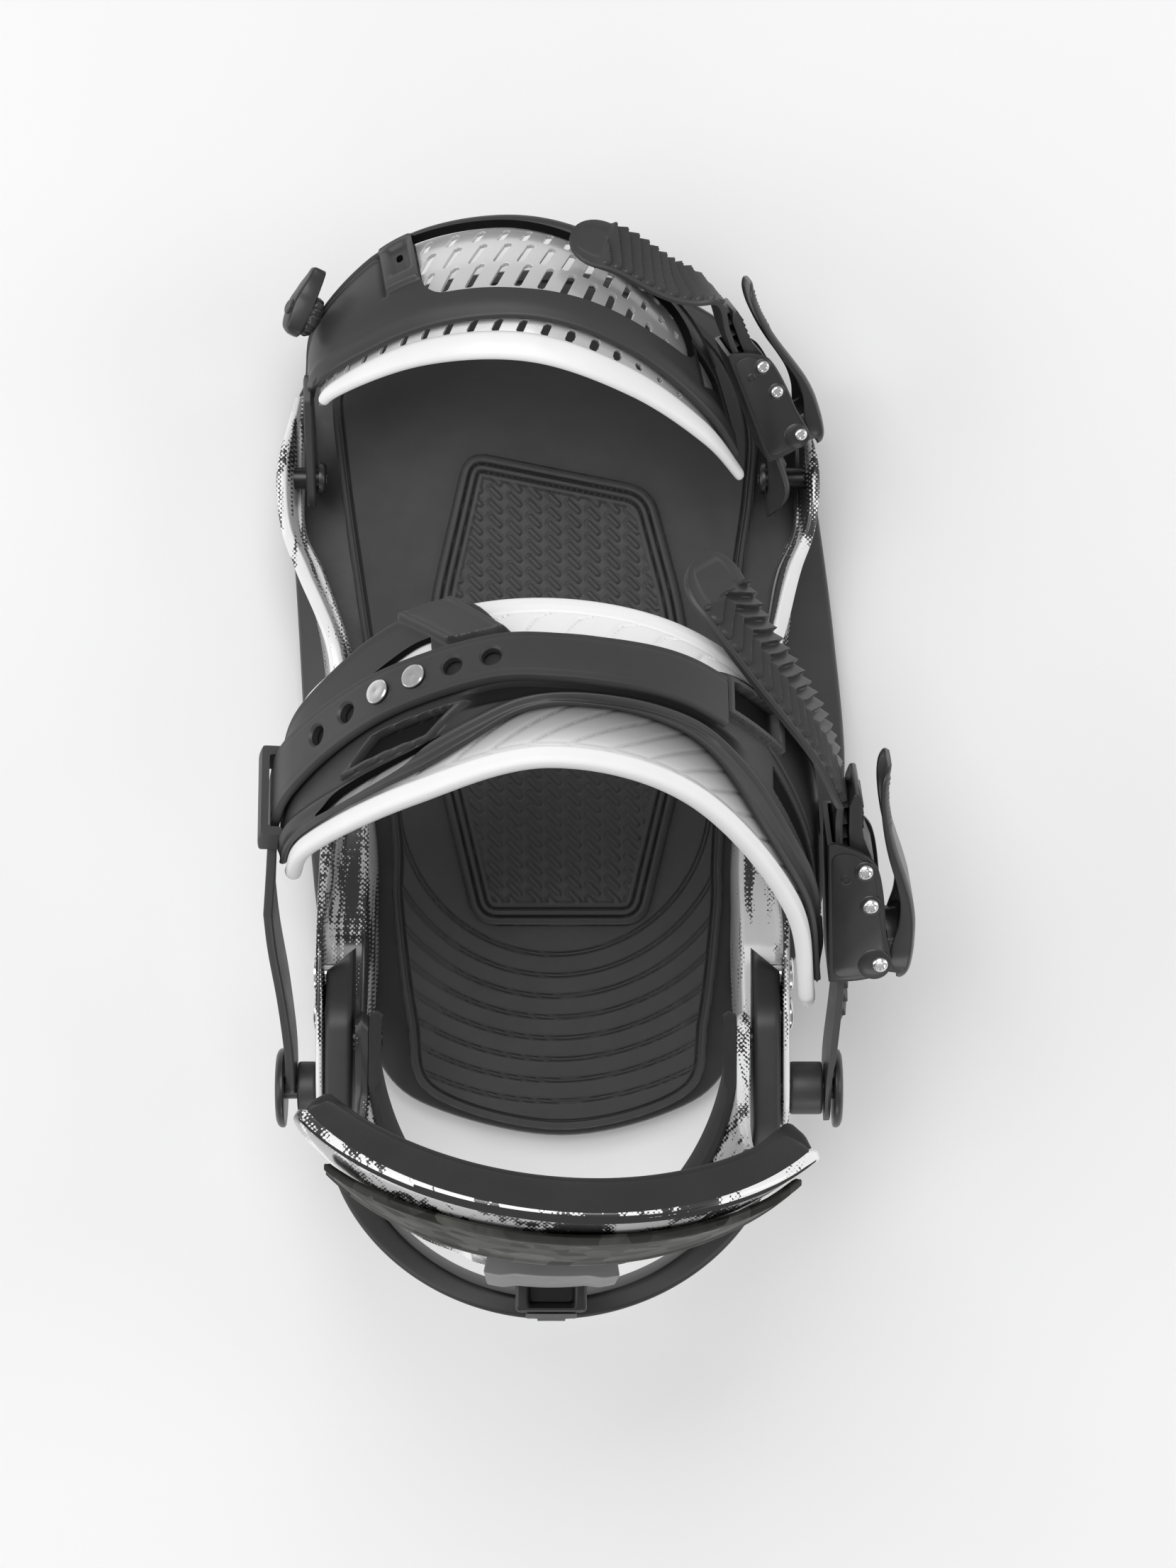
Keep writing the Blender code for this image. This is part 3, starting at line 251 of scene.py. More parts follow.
def surface_frame(surface, u, v):
    """Points and outward unit normals of a surface whose u runs to +X and whose v runs to +Y."""
    nudge = 0.002
    ahead_u, behind_u = np.where(u < 1 - nudge, u + nudge, u), np.where(u > nudge, u - nudge, u)
    ahead_v, behind_v = np.where(v < 1 - nudge, v + nudge, v), np.where((v > nudge) | (v < 0), v - nudge, v)
    along_u = surface(ahead_u, v) - surface(behind_u, v)
    along_v = surface(u, ahead_v) - surface(u, behind_v)
    return surface(u, v), unit(np.cross(along_u, along_v))


def spot(surface, u, v):
    """Point and outward unit normal of a surface at one u and v."""
    return (a[0] for a in surface_frame(surface, np.array([u]), np.array([v])))


def sheet(name, surface, u, v, inner, outer, mat, nodes, keep=None, rim=0.0, full=0.0, **more):
    """Solid over a strap surface between two offsets, with its border rounded over rim mm.

    Its UV is (u, v), or (thickness / full, v) where full is given, which a material uses to paint shade into
    sunk places.
    """
    points, normals = surface_frame(surface, u, v)
    inner = np.broadcast_to(inner, u.shape).astype(float)
    outer = np.broadcast_to(outer, u.shape).astype(float)
    # With full given, the first UV channel is the thickness share, the key for painted shade in sunk places
    first = (outer - inner) / full if full else u
    if rim:
        step_u = np.linalg.norm(np.diff(points, axis=0), axis=-1)
        step_v = np.linalg.norm(np.diff(points, axis=1), axis=-1)
        run_u = np.concatenate([np.zeros((1, u.shape[1])), np.cumsum(step_u, axis=0)])
        run_v = np.concatenate([np.zeros((u.shape[0], 1)), np.cumsum(step_v, axis=1)], axis=1)
        to_edge = np.minimum.reduce([run_u, run_u[-1] - run_u, run_v, run_v[:, -1:] - run_v])
        fade = round_edge(to_edge / rim)
        middle = (inner + outer) / 2
        outer = middle + (outer - middle) * blend(0.12, 1, fade)
        inner = middle + (inner - middle) * blend(0.12, 1, fade)
    low = points + normals * inner[..., None]
    high = points + normals * outer[..., None]
    return solid(name, low, high, mat, nodes, keep, np.dstack([first, v]), **more)


def grid(u_range, v_low, v_high, rows, cols):
    """Grid of u and v, whose v limits are numbers or functions of u."""
    u = np.linspace(*u_range, rows)[:, None] * np.ones(cols)
    low = v_low(u) if callable(v_low) else v_low
    high = v_high(u) if callable(v_high) else v_high
    t = np.linspace(0, 1, cols)[None, :] * np.ones((rows, 1))
    return u, blend(low, high, t), t


def wall_faces(rows, count, closed=False):
    """Quads between rows of count points each; closed joins the last row to the first."""
    faces = []
    for a in range(rows if closed else rows - 1):
        b = (a + 1) % rows
        for k in range(count):
            m = (k + 1) % count
            faces.append((a * count + k, a * count + m, b * count + m, b * count + k))
    return faces


def loft_mesh(rings):
    """Vertices and faces of a closed solid through rings of equally many points."""
    rings = [np.asarray(ring, float) for ring in rings]
    count = len(rings[0])
    faces = wall_faces(len(rings), count)
    last = (len(rings) - 1) * count
    faces.append(tuple(range(count))[::-1])
    faces.append(tuple(range(last, last + count)))
    return np.vstack(rings), faces


def loft(name, rings, mat, nodes, **more):
    return piece(name, *loft_mesh(rings), mat, nodes, **more)


def joined(*meshes):
    """One vertex and face list from several."""
    verts, faces, start = [], [], 0
    for points, loops in meshes:
        verts.append(np.asarray(points, float))
        faces += [tuple(k + start for k in loop) for loop in loops]
        start += len(points)
    return np.vstack(verts), faces


def across(axis):
    axis = unit(axis)
    side = unit(np.cross(axis, (0.0, 0.0, 1.0) if abs(axis[2]) < 0.9 else (1.0, 0.0, 0.0)))
    return axis, side, np.cross(axis, side)


def turned_mesh(profile, at, axis, sides=40, lobes=6):
    """Turned solid from (radius, distance along the axis[, lobe depth]) rows."""
    axis, side, up = across(axis)
    turn = 2 * math.pi * np.arange(sides) / sides
    rings = []
    for radius, along, *lobe in profile:
        reach = radius + (lobe[0] * np.cos(lobes * turn) if lobe else 0.0 * turn)
        ring = np.outer(reach * np.cos(turn), side) + np.outer(reach * np.sin(turn), up)
        rings.append(np.asarray(at) + axis * along + ring)
    return loft_mesh(rings)


def turned(name, profile, at, axis, mat, nodes, sides=40, lobes=6, **more):
    return piece(name, *turned_mesh(profile, at, axis, sides, lobes), mat, nodes, **more)


def rounded(section, radius, count=4):
    """A closed section's corners rounded, as (a, b) points."""
    points = [np.asarray(p, float) for p in section]
    loop = []
    for i, corner in enumerate(points):
        before, after = points[i - 1] - corner, points[(i + 1) % len(points)] - corner
        reach = min(radius, 0.45 * np.linalg.norm(before), 0.45 * np.linalg.norm(after))
        start, end = corner + unit(before) * reach, corner + unit(after) * reach
        for t in np.linspace(0, 1, count + 1):
            loop.append(start * (1 - t) ** 2 + corner * 2 * t * (1 - t) + end * t**2)
    return np.array(loop)


def cut(obj, mesh_data):
    """Subtracts a closed mesh from obj and keeps the result as its mesh."""
    verts, faces = mesh_data
    mesh = bpy.data.meshes.new("cutter")
    mesh.from_pydata((np.asarray(verts) * MM).tolist(), [], faces)
    bm = bmesh.new()
    bm.from_mesh(mesh)
    bmesh.ops.recalc_face_normals(bm, faces=bm.faces)
    bm.to_mesh(mesh)
    bm.free()
    cutter = bpy.data.objects.new("cutter", mesh)
    bpy.context.scene.collection.objects.link(cutter)
    mod = obj.modifiers.new("cut", "BOOLEAN")
    mod.object = cutter
    mod.solver = "EXACT"
    bpy.context.view_layer.update()
    kept = [m for m in obj.modifiers if m != mod]
    for m in kept:
        m.show_viewport = False
    result = bpy.data.meshes.new_from_object(obj.evaluated_get(bpy.context.evaluated_depsgraph_get()))
    for m in kept:
        m.show_viewport = True
    obj.modifiers.remove(mod)
    obj.data = result
    bpy.data.objects.remove(cutter, do_unlink=True)
    return obj


# ---------------------------------------------------------------- materials


class Shader:
    """A material's node tree, with short calls for the nodes used here."""

    def __init__(self, name, rough, metallic=0.0, coat=0.0, sheen=0.0):
        self.mat = bpy.data.materials.new(name)
        self.mat.use_nodes = True
        self.tree = self.mat.node_tree
        self.out = self.tree.nodes["Principled BSDF"]
        self.out.inputs["Metallic"].default_value = metallic
        self.out.inputs["Roughness"].default_value = rough
        self.out.inputs["Coat Weight"].default_value = coat
        self.out.inputs["Coat Roughness"].default_value = 0.12
        self.out.inputs["Sheen Weight"].default_value = sheen
        self.place = self.node("ShaderNodeTexCoord")

    def node(self, kind, **settings):
        node = self.tree.nodes.new(kind)
        for key, value in settings.items():
            setattr(node, key, value)
        return node

    def link(self, source, target):
        self.tree.links.new(source, target)

    def scaled(self, scale, source="Object", turn=0.0):
        mapping = self.node("ShaderNodeMapping")
        mapping.inputs["Scale"].default_value = scale
        mapping.inputs["Rotation"].default_value = (0, 0, turn)
        self.link(self.place.outputs[source], mapping.inputs["Vector"])
        return mapping.outputs["Vector"]

    def uv(self):
        """The U and V channels of the mesh's own UV map."""
        split = self.node("ShaderNodeSeparateXYZ")
        self.link(self.place.outputs["UV"], split.inputs["Vector"])
        return split.outputs["X"], split.outputs["Y"]

    def noise(self, scale, detail=3.0, stretch=(1, 1, 1), distortion=0.0, rough=0.55):
        noise = self.node("ShaderNodeTexNoise")
        noise.inputs["Scale"].default_value = scale
        noise.inputs["Detail"].default_value = detail
        noise.inputs["Roughness"].default_value = rough
        noise.inputs["Distortion"].default_value = distortion
        self.link(self.scaled(stretch), noise.inputs["Vector"])
        return noise.outputs["Fac"]

    def ramp(self, source, stops):
        ramp = self.node("ShaderNodeValToRGB")
        elements = ramp.color_ramp.elements
        while len(elements) < len(stops):
            elements.new(0.5)
        for element, (at, value) in zip(elements, stops):
            element.position = at
            element.color = (*value, 1.0) if isinstance(value, tuple) else (value, value, value, 1.0)
        self.link(source, ramp.inputs["Fac"])
        return ramp.outputs["Color"]

    def maths(self, operation, a, b=None):
        node = self.node("ShaderNodeMath", operation=operation)
        for socket, value in zip(node.inputs, (a, b)):
            if value is None:
                continue
            if isinstance(value, (int, float)):
                socket.default_value = value
            else:
                self.link(value, socket)
        return node.outputs["Value"]

    def mix(self, factor, a, b):
        node = self.node("ShaderNodeMix", data_type="RGBA")
        for socket, value in ((node.inputs[0], factor), (node.inputs[6], a), (node.inputs[7], b)):
            if isinstance(value, tuple):
                socket.default_value = (*value, 1.0)
            elif isinstance(value, (int, float)):
                socket.default_value = value
            else:
                self.link(value, socket)
        return node.outputs[2]

    def colour(self, source):
        self.link(source, self.out.inputs["Base Color"])

    def roughness(self, source, low, high):
        spread = self.node("ShaderNodeMapRange")
        spread.inputs["To Min"].default_value = low
        spread.inputs["To Max"].default_value = high
        self.link(source, spread.inputs["Value"])
        self.link(spread.outputs["Result"], self.out.inputs["Roughness"])

    def bump(self, source, height_mm, strength=1.0, under=None):
        bump = self.node("ShaderNodeBump")
        bump.inputs["Distance"].default_value = height_mm * MM
        bump.inputs["Strength"].default_value = strength
        self.link(source, bump.inputs["Height"])
        if under is not None:
            self.link(under, bump.inputs["Normal"])
        self.link(bump.outputs["Normal"], self.out.inputs["Normal"])
        return bump.outputs["Normal"]

    def edge_wear(self, base, worn, low=0.56, high=0.72):
        """Colour that turns to worn on sharp outer edges, broken up by noise."""
        shape = self.node("ShaderNodeNewGeometry")
        edge = self.ramp(shape.outputs["Pointiness"], ((low, 0.0), (high, 1.0)))
        broken = self.maths("MULTIPLY", edge, self.noise(240, 2))
        return self.mix(broken, base, worn)


def grey(value, tint=0.0):
    return (value, value, value * (1 + tint))


def plastic(name, dark, light, rough, grain=1500, grain_mm=0.02, coat=0.0, sheen=0.0, stretch=(1, 1, 1)):
    """Moulded plastic or rubber: mottled colour, spark-eroded grain, uneven gloss, pale worn edges."""
    s = Shader(name, rough, coat=coat, sheen=sheen)
    cloudy = s.noise(38, 4, stretch)
    base = s.mix(s.ramp(cloudy, ((0.3, 0.0), (0.7, 1.0))), grey(dark), grey(light))
    s.colour(s.edge_wear(base, grey(min(light * 1.7, 0.9))))
    s.roughness(s.noise(160, 3, stretch), rough - 0.07, rough + 0.09)
    s.bump(s.noise(grain, 2), grain_mm)
    return s.mat


def printed(name, seed_turn, level_cut):
    """Glossy white shell with a black halftone print: streaks whose borders dissolve into dots."""
    s = Shader(name, 0.22, coat=0.6)
    streaks = s.noise(30, 5, (2.4, 0.55, 0.8), 0.9)
    fine = s.noise(150, 3, (3.4, 0.22, 1.0), 0.4)
    tone = s.maths("ADD", s.maths("MULTIPLY", streaks, 0.8), s.maths("MULTIPLY", fine, 0.22))
    dots = s.node("ShaderNodeTexVoronoi")
    dots.inputs["Scale"].default_value = 1150
    dots.inputs["Randomness"].default_value = 0.0
    s.link(s.scaled((1, 1, 1), turn=seed_turn), dots.inputs["Vector"])
    size = s.maths("MULTIPLY", dots.outputs["Distance"], 0.14)
    level = s.maths("SUBTRACT", tone, size)
    bare = s.ramp(level, ((level_cut, 0.0), (level_cut + 0.012, 1.0)))
    white = s.mix(s.noise(90, 2), grey(0.8), grey(0.9))
    s.colour(s.mix(bare, grey(0.03), white))
    s.roughness(s.noise(240, 3), 0.17, 0.3)
    s.bump(s.noise(900, 2), 0.008)
    return s.mat


def shade_painted_plastic(name, rough):
    """Moulded black plastic with painted shade: darker, with weaker reflections, where its skin is sunk below
    its surroundings.
    """
    s = Shader(name, rough)
    relief, _ = s.uv()
    # Painted shade: the colour darkens where the UV's thickness share is low, in pockets, the valley and
    # panels
    depth = s.ramp(relief, ((0.1, 0.006), (0.34, 0.012), (0.6, 0.034), (0.95, 0.044)))
    s.colour(s.mix(s.maths("MULTIPLY", s.noise(60, 3), 0.12), depth, grey(0.045)))
    # Painted shade: reflections fade out in the same sunk places
    painted_shade_spec = s.ramp(relief, ((0.2, 0.02), (0.4, 0.12), (0.58, 0.42), (0.9, 0.55)))
    s.link(painted_shade_spec, s.out.inputs["Specular IOR Level"])
    s.roughness(s.noise(260, 3), rough - 0.05, rough + 0.07)
    s.bump(s.noise(1500, 2), 0.02)
    return s.mat


def pad_cover():
    """White to grey moulded foam, finely pebbled: the colour fades across the strap from white to grey,
    partly the foam's own grey and partly painted shade along the frame's edge.
    """
    s = Shader("ankle_pad_foam", 0.5, sheen=0.15)
    u, v = s.uv()
    # Foam's own grey together with painted shade: darkest from the frame's edge inwards, white again on the
    # toe side
    stops = ((0.11, 0.78), (0.16, 0.56), (0.22, 0.36), (0.3, 0.2), (0.36, 0.11), (0.62, 0.2), (0.74, 0.8))
    fade = s.ramp(v, stops)
    ends = s.ramp(u, ((0.0, 0.45), (0.3, 0.75), (0.5, 1.0), (0.68, 0.8), (1.0, 0.35)))
    edge = s.ramp(v, ((0.095, 1.0), (0.115, 0.0), (0.7, 0.0), (0.78, 1.0)))
    body = s.mix(1.0, fade, fade)
    shaded = s.node("ShaderNodeMix", data_type="RGBA", blend_type="MULTIPLY")
    shaded.inputs[0].default_value = 1.0
    s.link(body, shaded.inputs[6])
    s.link(ends, shaded.inputs[7])
    white = s.mix(s.noise(60, 3), grey(0.84), grey(0.9))
    s.colour(s.mix(edge, shaded.outputs[2], white))
    s.roughness(s.noise(300, 3), 0.42, 0.6)
    s.bump(s.noise(2200, 2), 0.02)
    return s.mat


def foam(name, dark, light):
    """Soft black foam with a knitted face."""
    s = Shader(name, 0.82, sheen=0.08)
    s.out.inputs["Specular IOR Level"].default_value = 0.25
    weave = s.node("ShaderNodeTexWave", wave_type="BANDS", bands_direction="DIAGONAL")
    weave.inputs["Scale"].default_value = 900
    weave.inputs["Distortion"].default_value = 1.4
    s.link(s.scaled((1, 1, 1)), weave.inputs["Vector"])
    s.colour(s.mix(s.noise(70, 4), grey(dark), grey(light)))
    under = s.bump(s.noise(600, 3), 0.05)
    s.bump(weave.outputs["Fac"], 0.035, under=under)
    return s.mat


def silver_web():
    """Silver-grey see-through plastic: paler towards the inner side, darker outside."""
    s = Shader("silver_web", 0.24, metallic=0.35, coat=0.5)
    u, _ = s.uv()
    along = s.ramp(u, ((0.1, 0.5), (0.3, 0.78), (0.55, 0.66), (0.8, 0.36), (0.95, 0.26)))
    cloudy = s.maths("MULTIPLY", s.noise(35, 2), 0.4)
    s.colour(s.mix(cloudy, along, grey(0.6)))
    s.roughness(s.noise(120, 3), 0.18, 0.34)
    s.bump(s.noise(700, 2), 0.012)
    return s.mat


def forged_carbon():
    """Dark plastic with short fibre flakes lying every way."""
    s = Shader("forged_carbon", 0.5)
    s.out.inputs["Specular IOR Level"].default_value = 0.2
    flakes = s.node("ShaderNodeTexVoronoi")
    flakes.inputs["Scale"].default_value = 170
    s.link(s.scaled((1.0, 0.6, 1.6), turn=0.6), flakes.inputs["Vector"])
    tone = s.node("ShaderNodeSeparateColor")
    s.link(flakes.outputs["Color"], tone.inputs["Color"])
    cloudy = s.maths("MULTIPLY", tone.outputs["Red"], s.noise(90, 4, distortion=1.5))
    stops = ((0.0, (0.016, 0.016, 0.014)), (0.3, (0.04, 0.04, 0.036)), (0.6, (0.085, 0.085, 0.078)))
    s.colour(s.ramp(cloudy, stops))
    s.roughness(tone.outputs["Green"], 0.42, 0.6)
    s.bump(s.noise(1300, 2), 0.015)
    return s.mat


def metal(name, value, rough, metallic, stretch, wear=0.5):
    """Metal with drawn or turned marks and rubbed edges."""
    s = Shader(name, rough, metallic=metallic)
    marks = s.noise(420, 4, stretch)
    base = s.mix(marks, grey(value * 0.88), grey(min(value * 1.12, 1.0)))
    s.colour(s.edge_wear(base, grey(wear), 0.55, 0.66))
    s.roughness(marks, rough - 0.06, rough + 0.08)
    s.bump(marks, 0.006)
    return s.mat


STRAP_BLACK = plastic("strap_plastic", 0.032, 0.042, 0.44)
FRAME_BLACK = shade_painted_plastic("frame_plastic", 0.44)
BUCKLE_BLACK = plastic("buckle_plastic", 0.016, 0.024, 0.36, coat=0.15)
LADDER_BLACK = plastic("ladder_plastic", 0.03, 0.04, 0.42)
FOOTBED = plastic("footbed_rubber", 0.036, 0.044, 0.62, grain=1100, grain_mm=0.035)
PAD_RUBBER = plastic("grip_rubber", 0.03, 0.038, 0.55, grain=1300, grain_mm=0.025)
BUSHING = plastic("bushing_rubber", 0.028, 0.036, 0.7, grain=900, grain_mm=0.04)
DISC_PLASTIC = plastic("disc_plastic", 0.04, 0.055, 0.4)
SPINE_GREY = plastic("spine_plastic", 0.12, 0.16, 0.42)
WHITE_TRIM = plastic("white_trim", 0.82, 0.9, 0.4, grain=1200, grain_mm=0.012, coat=0.1)
DARK_FLANGE = plastic("base_nylon", 0.024, 0.032, 0.4)
PRINTED = printed("halftone_print", 0.785, 0.438)
RAIL_PRINTED = printed("halftone_rail_print", 0.785, 0.405)
ANKLE_FOAM = pad_cover()
HIGHBACK_FOAM = foam("highback_foam", 0.022, 0.034)
WEB = silver_web()
CARBON = forged_carbon()
HOOP_METAL = metal("black_anodised", 0.03, 0.42, 0.25, (1, 1, 7), 0.12)
STEEL = metal("rivet_steel", 0.78, 0.2, 1.0, (1, 1, 1), 0.95)
BLACK_STEEL = metal("blackened_steel", 0.06, 0.34, 0.9, (1, 1, 1), 0.4)


# ---------------------------------------------------------------- base

FLOOR_OUTLINE = (
    (-38, -111), (-53, -94), (-64, -74), (-69, -38), (-71, 0), (-73, 35), (-75, 62), (-74, 84),
    (-60, 106), (-38, 119.5), (0, 124), (36, 116), (58, 100), (70, 80), (74, 58), (79, 20),
    (82, -19), (77, -50), (65, -76), (54, -93), (39, -111), (2, -120.5),
)

FOOTBED_OUTLINE = (
    (-35, -108.5), (-41.5, -87), (-45.5, -55), (-46, -33), (-54, 20), (-61, 70), (-61.5, 92),
    (-52, 109), (-30, 119.5), (2, 122.5), (30, 115.5), (48, 101), (56.5, 80), (56, 60), (52.5, 32),
    (47.5, -36), (47, -56), (43.5, -87), (37.5, -108.5), (2, -118.5),
)

# Corners of the raised pad, each with how far its rounding reaches along the sides
GRIP_PAD_CORNERS = (
    (-25, 72.5, 7), (27.5, 62, 7), (42, 8, 30), (25.5, -61, 7), (-22.5, -61, 7), (-39.5, 10, 30),
)

# Rail sections from toe to heel: Y, foot height, outer foot, outer top, top height,
# inner top, ledge height, ledge outer corner, ledge inner corner, inner foot
LEFT_RAIL = (
    (88, 6, 72.0, 72.6, 14, 71.2, 12, 70.9, 70.4, 70.0),
    (78, 6, 72.6, 74.0, 31, 71.9, 18, 71.2, 70.6, 70.2),
    (65, 6, 73.0, 76.5, 38, 73.6, 18, 71.4, 70.7, 70.2),
    (50, 6, 73.0, 75.5, 38, 72.4, 17, 71.0, 70.3, 69.8),
    (38, 6, 70.5, 71.5, 36, 67.6, 16, 66.2, 65.0, 64.4),
    (15, 6, 66.0, 62.5, 34, 58.6, 16, 58.2, 57.2, 56.6),
    (-10, 6, 64.0, 62.0, 38, 58.0, 18, 56.4, 54.0, 53.0),
    (-40, 6, 63.6, 63.8, 48, 60.6, 28, 59.0, 51.5, 49.5),
    (-58, 6, 63.6, 64.0, 58, 62.2, 38, 61.9, 51.5, 49.5),
    (-68, 8, 63.6, 64.0, 62, 62.2, 41.5, 61.9, 51.5, 49.5),
    (-86, 14, 63.4, 64.0, 63, 62.2, 41.5, 61.9, 52.0, 50.0),
    (-104, 26, 63.0, 64.0, 62, 62.2, 41.5, 61.9, 53.0, 52.0),
    (-114, 36, 62.8, 64.0, 56, 62.2, 41.5, 61.9, 54.0, 53.0),
)
RIGHT_RAIL_SHIFT = -3.0

BUSHING_Z = (0.0, 3.0)
FLOOR_Z = (3.3, 9.0)
FOOTBED_Z = (9.3, 14.0)
GRIP_PAD_Z = (14.3, 16.8)
DISC_HOLE_R = 46.5
DISC_SEAT_R = 50.5
DISC_SEAT_Z = 5.7


def rounded_corners(corners, count):
    """Closed outline whose corners (x, y, reach) are rounded by quadratic curves."""
    loop = []
    for i, (x, y, reach) in enumerate(corners):
        corner = np.array((x, y), float)
        before = np.array(corners[i - 1][:2], float)
        after = np.array(corners[(i + 1) % len(corners)][:2], float)
        start = corner + unit(before - corner) * reach
        end = corner + unit(after - corner) * reach
        for t in np.linspace(0, 1, count + 1):
            loop.append(start * (1 - t) ** 2 + corner * 2 * t * (1 - t) + end * t**2)
    return np.array(loop)


def dense(outline, spacing=0.5):
    """The closed outline walked at an even spacing."""
    closed = np.vstack([outline, outline[:1]])
    lengths = np.concatenate([[0], np.cumsum(np.hypot(*np.diff(closed, axis=0).T))])
    at = np.linspace(0, lengths[-1], int(lengths[-1] / spacing), endpoint=False)
    return np.column_stack([np.interp(at, lengths, closed[:, k]) for k in (0, 1)])


def ring_plate(outline, hole_profile, low, high, edge):
    """Plate over an outline with a turned hole at the origin, as vertices and faces."""
    count = len(outline)
    turns = np.arctan2(outline[:, 1], outline[:, 0])
    circle = np.column_stack([np.cos(turns), np.sin(turns)])
    inward = unit(outline) * edge
    loops = [(outline, low + edge), (outline - inward * 0.3, low + edge * 0.3), (outline - inward, low)]
    loops += [(circle * r, z) for r, z in hole_profile]
    loops += [(outline - inward, high), (outline - inward * 0.3, high - edge * 0.3), (outline, high - edge)]
    verts = [(x, y, z) for points, z in loops for x, y in points]
    return verts, wall_faces(len(loops), count, closed=True)


def make_baseplate():
    outline = closed_spline(FLOOR_OUTLINE, 10)
    hole = (
        (DISC_HOLE_R, FLOOR_Z[0]), (DISC_HOLE_R, DISC_SEAT_Z),
        (DISC_SEAT_R, DISC_SEAT_Z), (DISC_SEAT_R, FLOOR_Z[1]),
    )
    piece("base_floor", *ring_plate(outline, hole, *FLOOR_Z, 1.4), DARK_FLANGE, "baseplate")
    for side, name in ((-1, "inner"), (1, "outer")):
        rings = []
        for t in np.linspace(0, 1, 150):
            row = spline(LEFT_RAIL, t)
            y, foot, outer_foot, outer_top, top, inner_top, ledge, step, lip, inner_foot = row
            shift = RIGHT_RAIL_SHIFT * ease((y - 20) / 20) if side > 0 else 0.0
            waist = blend(outer_foot, outer_top, 0.45)
            crease = 1.1 * inside(y, -60, 84, 30)
            corners = (
                (outer_foot, foot), (waist - crease, blend(foot, top, 0.42)), (outer_top, top),
                (inner_top, top), (step, ledge), (lip, ledge), (inner_foot, foot),
            )
            ring = rounded(corners, 1.3, 3)
            rings.append([(side * (x + shift), y, z) for x, z in ring])
        loft(f"rail_{name}", rings, RAIL_PRINTED, "baseplate", angle=50)


def make_bushing():
    outline = closed_spline(FLOOR_OUTLINE, 10) * 0.97
    hole = ((51.0, BUSHING_Z[0]), (51.0, BUSHING_Z[1]))
    piece("damping_mat", *ring_plate(outline, hole, *BUSHING_Z, 0.9), BUSHING, "base_bushing")


def make_footbed():
    """Footbed with a lip round it and fine contour grooves round the heel of the grip pad."""
    fine, coarse = (dense(closed_spline(FOOTBED_OUTLINE, 40), spacing) for spacing in (0.55, 2.5))
    heel_turn = [np.arctan2(loop[:, 0], 10 - loop[:, 1]) for loop in (fine, coarse)]
    outline = np.vstack([fine[np.abs(heel_turn[0]) < 1.6], coarse[np.abs(heel_turn[1]) >= 1.6]])
    outline = outline[np.argsort(np.arctan2(outline[:, 0], 10 - outline[:, 1]))]
    count = len(outline)
    reach = np.concatenate([np.linspace(0.3, 0.96, 250), np.linspace(0.9625, 1.0, 26)])
    points = outline[None, :, :] * reach[:, None, None]
    x, y = points[..., 0], points[..., 1]
    to_edge = far_from(points, dense(outline, 0.6))
    # Contours: arcs about a point on the middle line, running up beside the pad
    centre_y = -25.0
    level = np.where(y < centre_y, np.hypot(x, y - centre_y), np.abs(x) - 0.26 * (y - centre_y))
    first, pitch, pair = 44.0, 5.9, 0.5
    phase = (level - first + pitch / 2) % pitch - pitch / 2
    grooves = line(phase, -pair, 0.62) + line(phase, pair, 0.62)
    grooves *= (level > first - 2) * inside(to_edge, 3.0, 200, 0.6) * ease((-2 - y) / 12)
    z = FOOTBED_Z[1] - 0.55 * grooves
    z -= 1.0 * line(to_edge, 2.6, 0.9)
    z -= 0.5 * ease((2.2 - to_edge) / 0.8)
    z -= 0.9 * (1 - round_edge(to_edge / 0.9))
    under = np.full_like(z[-1], FOOTBED_Z[0])
    top = np.dstack([x, y, z]).reshape(-1, 3)
    skirt = np.column_stack([outline, under])
    hidden = np.column_stack([outline * 0.3, np.full(count, FOOTBED_Z[0])])
    verts = np.vstack([top, skirt, hidden])
    faces = wall_faces(len(reach) + 2, count, closed=True)
    piece("footbed_moulding", verts, faces, FOOTBED, "footbed", angle=60)


